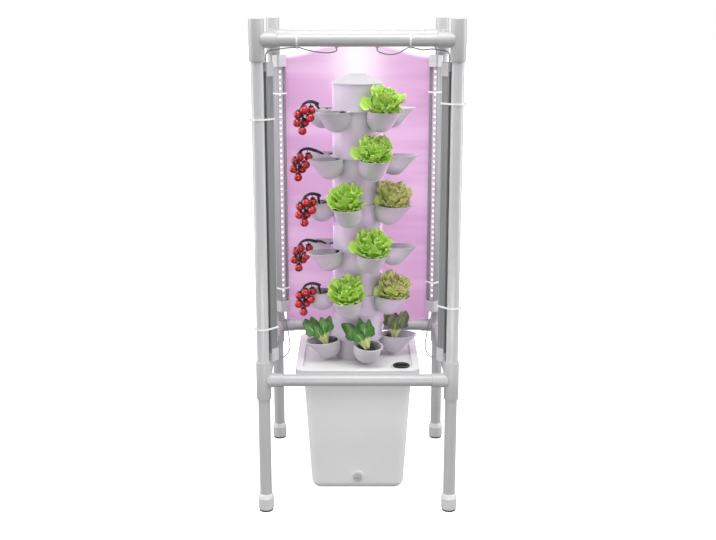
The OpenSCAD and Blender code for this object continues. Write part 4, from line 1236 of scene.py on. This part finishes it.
    def lettuce(self, tier: int, angle: float, red: bool) -> None:
        """Builds one lettuce: rings of leaves, a skirt over the pocket's rim and a small leaf.

        Args:
            tier: The tier, 1 on top.
            angle: The pocket's angle.
            red: Whether its leaves are brownish.
        """
        piece = Piece(f"tier_{tier}_lettuce_{'red' if red else 'green'}")
        maker = LeafMaker(piece, int(self.lettuce_seed + tier * 37 + angle * 3))
        chance = maker.chance
        root = self.root(tier, angle, self.lettuce_lean)
        for count, spread, length, width, curl in self.rings:
            for i in range(count):
                turn = math.tau * (i + chance.uniform(-0.15, 0.15)) / count + spread
                form = replace(self.lettuce_leaf, length=length * chance.uniform(0.94, 1.03),
                               width=width * chance.uniform(0.9, 1.1), curl=curl)
                self.stand(maker, root, form, turn, spread * chance.uniform(0.85, 1.15), self.lettuce_foot)
        for aside in self.skirt:
            form = replace(self.skirt_leaf, length=self.skirt_leaf.length * chance.uniform(0.93, 1.0))
            self.stand(maker, root, form, math.pi / 2 + aside, self.skirt_tilt, self.lettuce_foot)
        small = replace(self.small_leaf, length=self.small_red_length) if red else self.small_leaf
        self.stand(maker, self.facing(tier, angle, self.small_lean), small, -math.pi / 2, self.small_tilt,
                   self.small_foot)
        piece.finish(Finish.RED_LETTUCE if red else Finish.LETTUCE, f"tier_{tier}", "greens",
                     [f"tier_{tier}_plants"], 180.0, self.lettuce_wall)

    def pak_choi(self, name: str, angle: float) -> None:
        """Builds one pak choi of the lowest tier, whose leaves fan out from its foot.

        Args:
            name: Its place.
            angle: The pocket's angle.
        """
        piece = Piece(f"pak_choi_{name}")
        maker = LeafMaker(piece, int(self.pak_choi_seed + angle))
        for (lean, length), tilt in zip(self.fans[name], self.fan_tilts):
            width = self.pak_choi_width * length * maker.chance.uniform(0.94, 1.06)
            form = replace(self.pak_choi_leaf, length=length, width=width)
            turn = -math.pi / 2 + maker.chance.uniform(-0.3, 0.3)
            out = math.copysign(self.pak_choi_foot, tilt)
            self.stand(maker, self.facing(TIERS, angle, lean), form, turn, tilt, out)
        piece.finish(Finish.PURPLE_CHOI if name == "right" else Finish.PAK_CHOI, f"tier_{TIERS}", "greens",
                     [f"tier_{TIERS}_plants"], 180.0, self.pak_choi_wall)

    def truss(self, tier: int, pocket: float, angle: float, lift: float) -> None:
        """Builds one tomato truss.

        Args:
            tier: The tier, 1 on top.
            pocket: The angle of the pocket that it grows from.
            angle: The angle that it hangs at.
            lift: How much higher than others it hangs, in millimetres.
        """
        turned = Matrix.Rotation(math.radians(angle - 90), 4, "Z")
        base = Matrix.Translation((0, 0, self.rim_height(tier) * MM)) @ turned
        hung = Matrix.Translation((0, 0, (self.rim_height(tier) + lift) * MM)) @ turned
        line = []
        for t in self.stem_steps:
            turn = Matrix.Rotation(math.radians((pocket - angle) * (1.0 - smooth_step(t))), 4, "Z")
            rise = (self.stem_rise + lift) * (1.0 - (1.0 - t) ** 2) - self.base_drop
            line.append(base @ (turn @ Vector((self.base_radius + self.stem_reach * t, 0, rise)) * MM))
        knots = [hung @ (Vector(point) * MM) for point in self.stem]
        line = smooth_line([*line, *knots])
        thick = [self.stem_radius * MM * (1.0 + math.sin(math.pi * i / len(line)) ** 2)
                 for i in range(len(line))]
        fruit_piece = Piece(f"tier_{tier}_tomatoes")
        stem_piece = Piece(f"tier_{tier}_tomato_stem")
        stem_piece.tube(line, thick, 10)
        chance = random.Random(self.truss_seed + tier)
        for joint, place in zip(self.joints, self.fruits):
            centre, knot = hung @ (Vector(place) * MM), knots[joint]
            up = ((knot - centre).normalized() + Vector((0, 0, 0.8))).normalized()
            where = Matrix.Translation(centre) @ turn_to(up)
            self.tomato(fruit_piece, where, chance)
            top = centre + up * (self.tomato_radius - self.stalk_sink) * MM
            middle = (top + knot) / 2 + up * (self.stalk_bow * MM)
            stem_piece.tube([top, top + up * (self.stalk_rise * MM), middle, knot],
                            [radius * MM for radius in self.stalk_radii], 6)
            self.calyx(stem_piece, where, chance)
        for piece, finish in ((fruit_piece, Finish.TOMATO), (stem_piece, Finish.STEM)):
            piece.finish(finish, f"tier_{tier}", "greens", [f"tier_{tier}_plants"], 60.0)

    def tomato(self, piece: Piece, matrix: Matrix, chance: random.Random) -> None:
        """Draws one tomato with its dimple.

        Args:
            piece: The piece it belongs to.
            matrix: Its centre, with +Z to the stem.
            chance: The run of chance for its size.
        """
        size = self.tomato_radius * MM * chance.uniform(0.95, 1.0)
        ball = piece.added(lambda: bmesh.ops.create_uvsphere(
            piece.mesh, u_segments=28, v_segments=18, radius=size))
        for vert in ball:
            out = math.hypot(vert.co.x, vert.co.y) / size
            if vert.co.z > 0:
                vert.co.z -= self.dimple_depth * size * max(0.0, 1.0 - out / self.dimple_width) ** 1.5
            vert.co.z *= self.tomato_flatness
        piece.move(ball, matrix)

    def calyx(self, piece: Piece, matrix: Matrix, chance: random.Random) -> None:
        """Draws the pointed sepals on top of a tomato.

        Args:
            piece: The piece they belong to.
            matrix: The tomato's centre, with +Z to the stem.
            chance: The run of chance for their turn.
        """
        start = chance.uniform(0, math.tau)
        radius = self.tomato_radius * MM
        for i in range(self.sepals):
            turn = Matrix.Rotation(start + math.tau * i / self.sepals, 4, "Z")
            reach = chance.uniform(0.62, 0.85)
            bends = [(0.05, -1.0), *((bend * reach, lift) for bend, lift in self.sepal_points)]
            points = [turn @ Vector((math.sin(a) * radius * 1.04, 0, math.cos(a) * radius * 0.99 + lift * MM))
                      for a, lift in bends]
            piece.tube([matrix @ point for point in points], [r * MM for r in self.sepal_radii], 5)

    def build(self) -> None:
        """Builds every plant."""
        for tier, angles in enumerate(self.lettuces, 1):
            for angle in angles:
                self.lettuce(tier, angle, angle == self.red_angle)
        for tier, (pocket, angle, lift) in enumerate(self.trusses, 1):
            self.truss(tier, pocket, angle, lift)
        for name, angle in self.pak_chois:
            self.pak_choi(name, angle)


@dataclass
class Studio:
    """The floor, the light and the camera."""

    camera_place: Point = (0.0012, -2.8543, 1.33)
    camera_pitch: float = 12.889
    camera_lens: float = 51.9
    camera_shift: float = -0.03
    camera_sensor: float = 36.0
    floor_size: float = 40.0
    floor_drop: float = 0.0005
    floor_light: float = 0.95
    floor_greys: tuple[Colour, Colour] = ((0.52, 0.52, 0.52), (0.48, 0.48, 0.48))
    sky_strength: float = 0.36
    sky_slope: float = 0.28
    bar_distance: float = 0.2
    bar_powers: tuple[tuple[float, float], ...] = ((0.2, 0.3), (-0.2, 0.1))
    bar_size: tuple[float, float] = (0.02, 0.72)
    bar_colour: Colour = (0.9, 0.34, 1.0)
    bar_spread: float = 75.0

    def floor(self) -> None:
        """Lays the pale floor."""
        mesh = bmesh.new()
        bmesh.ops.create_grid(mesh, x_segments=1, y_segments=1, size=self.floor_size)
        data = bpy.data.meshes.new("studio_floor")
        mesh.to_mesh(data)
        mesh.free()
        graph = ShaderGraph(bpy.data.materials.new("floor_paint"))
        data.materials.append(graph.surface(
            base_color=graph.mix(graph.noise(graph.place(), 0.8), *self.floor_greys), roughness=0.9,
            emission_color=WHITE, emission_strength=self.floor_light))
        made = add_object("studio_floor", data)
        made.location.z = -self.floor_drop
        made.visible_diffuse = False
        made.visible_glossy = False

    def sky(self) -> None:
        """Makes a white surround that lights softly, and more from above than from below."""
        world = bpy.data.worlds.new("studio_sky")
        bpy.context.scene.world = world
        graph = ShaderGraph(world)
        strength = graph.axes(graph.place("Generated"))[2] * self.sky_slope + self.sky_strength
        light = graph.node("ShaderNodeBackground", {}, {"Color": WHITE, "Strength": strength})
        seen = graph.node("ShaderNodeBackground", {}, {"Color": WHITE, "Strength": 1.0})
        direct = graph.node("ShaderNodeLightPath", {}, {}, "Is Camera Ray")
        mixed = graph.node("ShaderNodeMixShader", {}, {0: direct, 1: light, 2: seen})
        graph.node("ShaderNodeOutputWorld", {}, {0: mixed})

    def lamp(self, name: str, place: Point, aim: Point, size: tuple[float, float], power: float,
             colour: Colour = WHITE, spread: float = 180.0) -> None:
        """Hangs one soft light.

        Args:
            name: Its name.
            place: Where it hangs.
            aim: The point that it faces.
            size: Its width and height.
            power: Its power in watts.
            colour: Its colour.
            spread: The width of its beam, in degrees.
        """
        data = bpy.data.lights.new(name, "AREA")
        data.shape = "RECTANGLE"
        data.size, data.size_y = size
        data.energy = power
        data.color = colour
        data.spread = math.radians(spread)
        made = add_object(name, data)
        made.location = place
        made.rotation_euler = (Vector(aim) - Vector(place)).to_track_quat("-Z", "Y").to_euler()
        made.visible_camera = False

    def camera(self) -> None:
        """Sets up the camera at the photograph's viewing angle."""
        data = bpy.data.cameras.new("studio_camera")
        data.lens = self.camera_lens
        data.sensor_width = self.camera_sensor
        data.shift_y = self.camera_shift
        made = add_object("studio_camera", data)
        made.location = self.camera_place
        made.rotation_euler = (math.radians(90 - self.camera_pitch), 0, 0)
        bpy.context.scene.camera = made

    def build(self) -> None:
        """Sets up the studio."""
        self.floor()
        self.sky()
        self.lamp("top_light", (0.0, -0.9, 3.6), (0, 0, 0.5), (2.4, 2.0), 88.0)
        self.lamp("left_light", (-2.8, 0.3, 1.3), (0, 0, 0.8), (1.6, 2.6), 52.0)
        self.lamp("right_light", (2.8, 0.3, 1.3), (0, 0, 0.8), (1.6, 2.6), 52.0)
        self.lamp("front_light", (0.6, -3.6, 2.0), (0, 0, 0.7), (2.0, 2.0), 10.0)
        self.lamp("low_light", (0.0, -1.6, 0.15), (0, 0, 0.2), (1.6, 0.3), 8.0)
        self.lamp("rail_light", (0.0, -0.15, 1.7), (0, 0.25, 1.27), (0.4, 0.06), 0.1, spread=56.0)
        for side in (-1.0, 1.0):
            for depth, power in self.bar_powers:
                self.lamp(f"bar_light_{side:+.0f}_{depth:+.1f}", (side * self.bar_distance, depth, 0.8),
                          (0, 0, 0.8), self.bar_size, power, self.bar_colour, self.bar_spread)
        self.camera()
        bpy.context.scene.view_settings.view_transform = "Standard"


def main() -> None:
    """Builds everything in order."""
    logging.basicConfig(level=logging.INFO, format="%(name)s: %(message)s")
    Studio().build()
    Lamps().build()
    PipeFrame().build()
    Tank().build()
    Tower().build()
    Plants().build()
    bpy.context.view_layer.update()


if __name__ == "__main__":
    main()
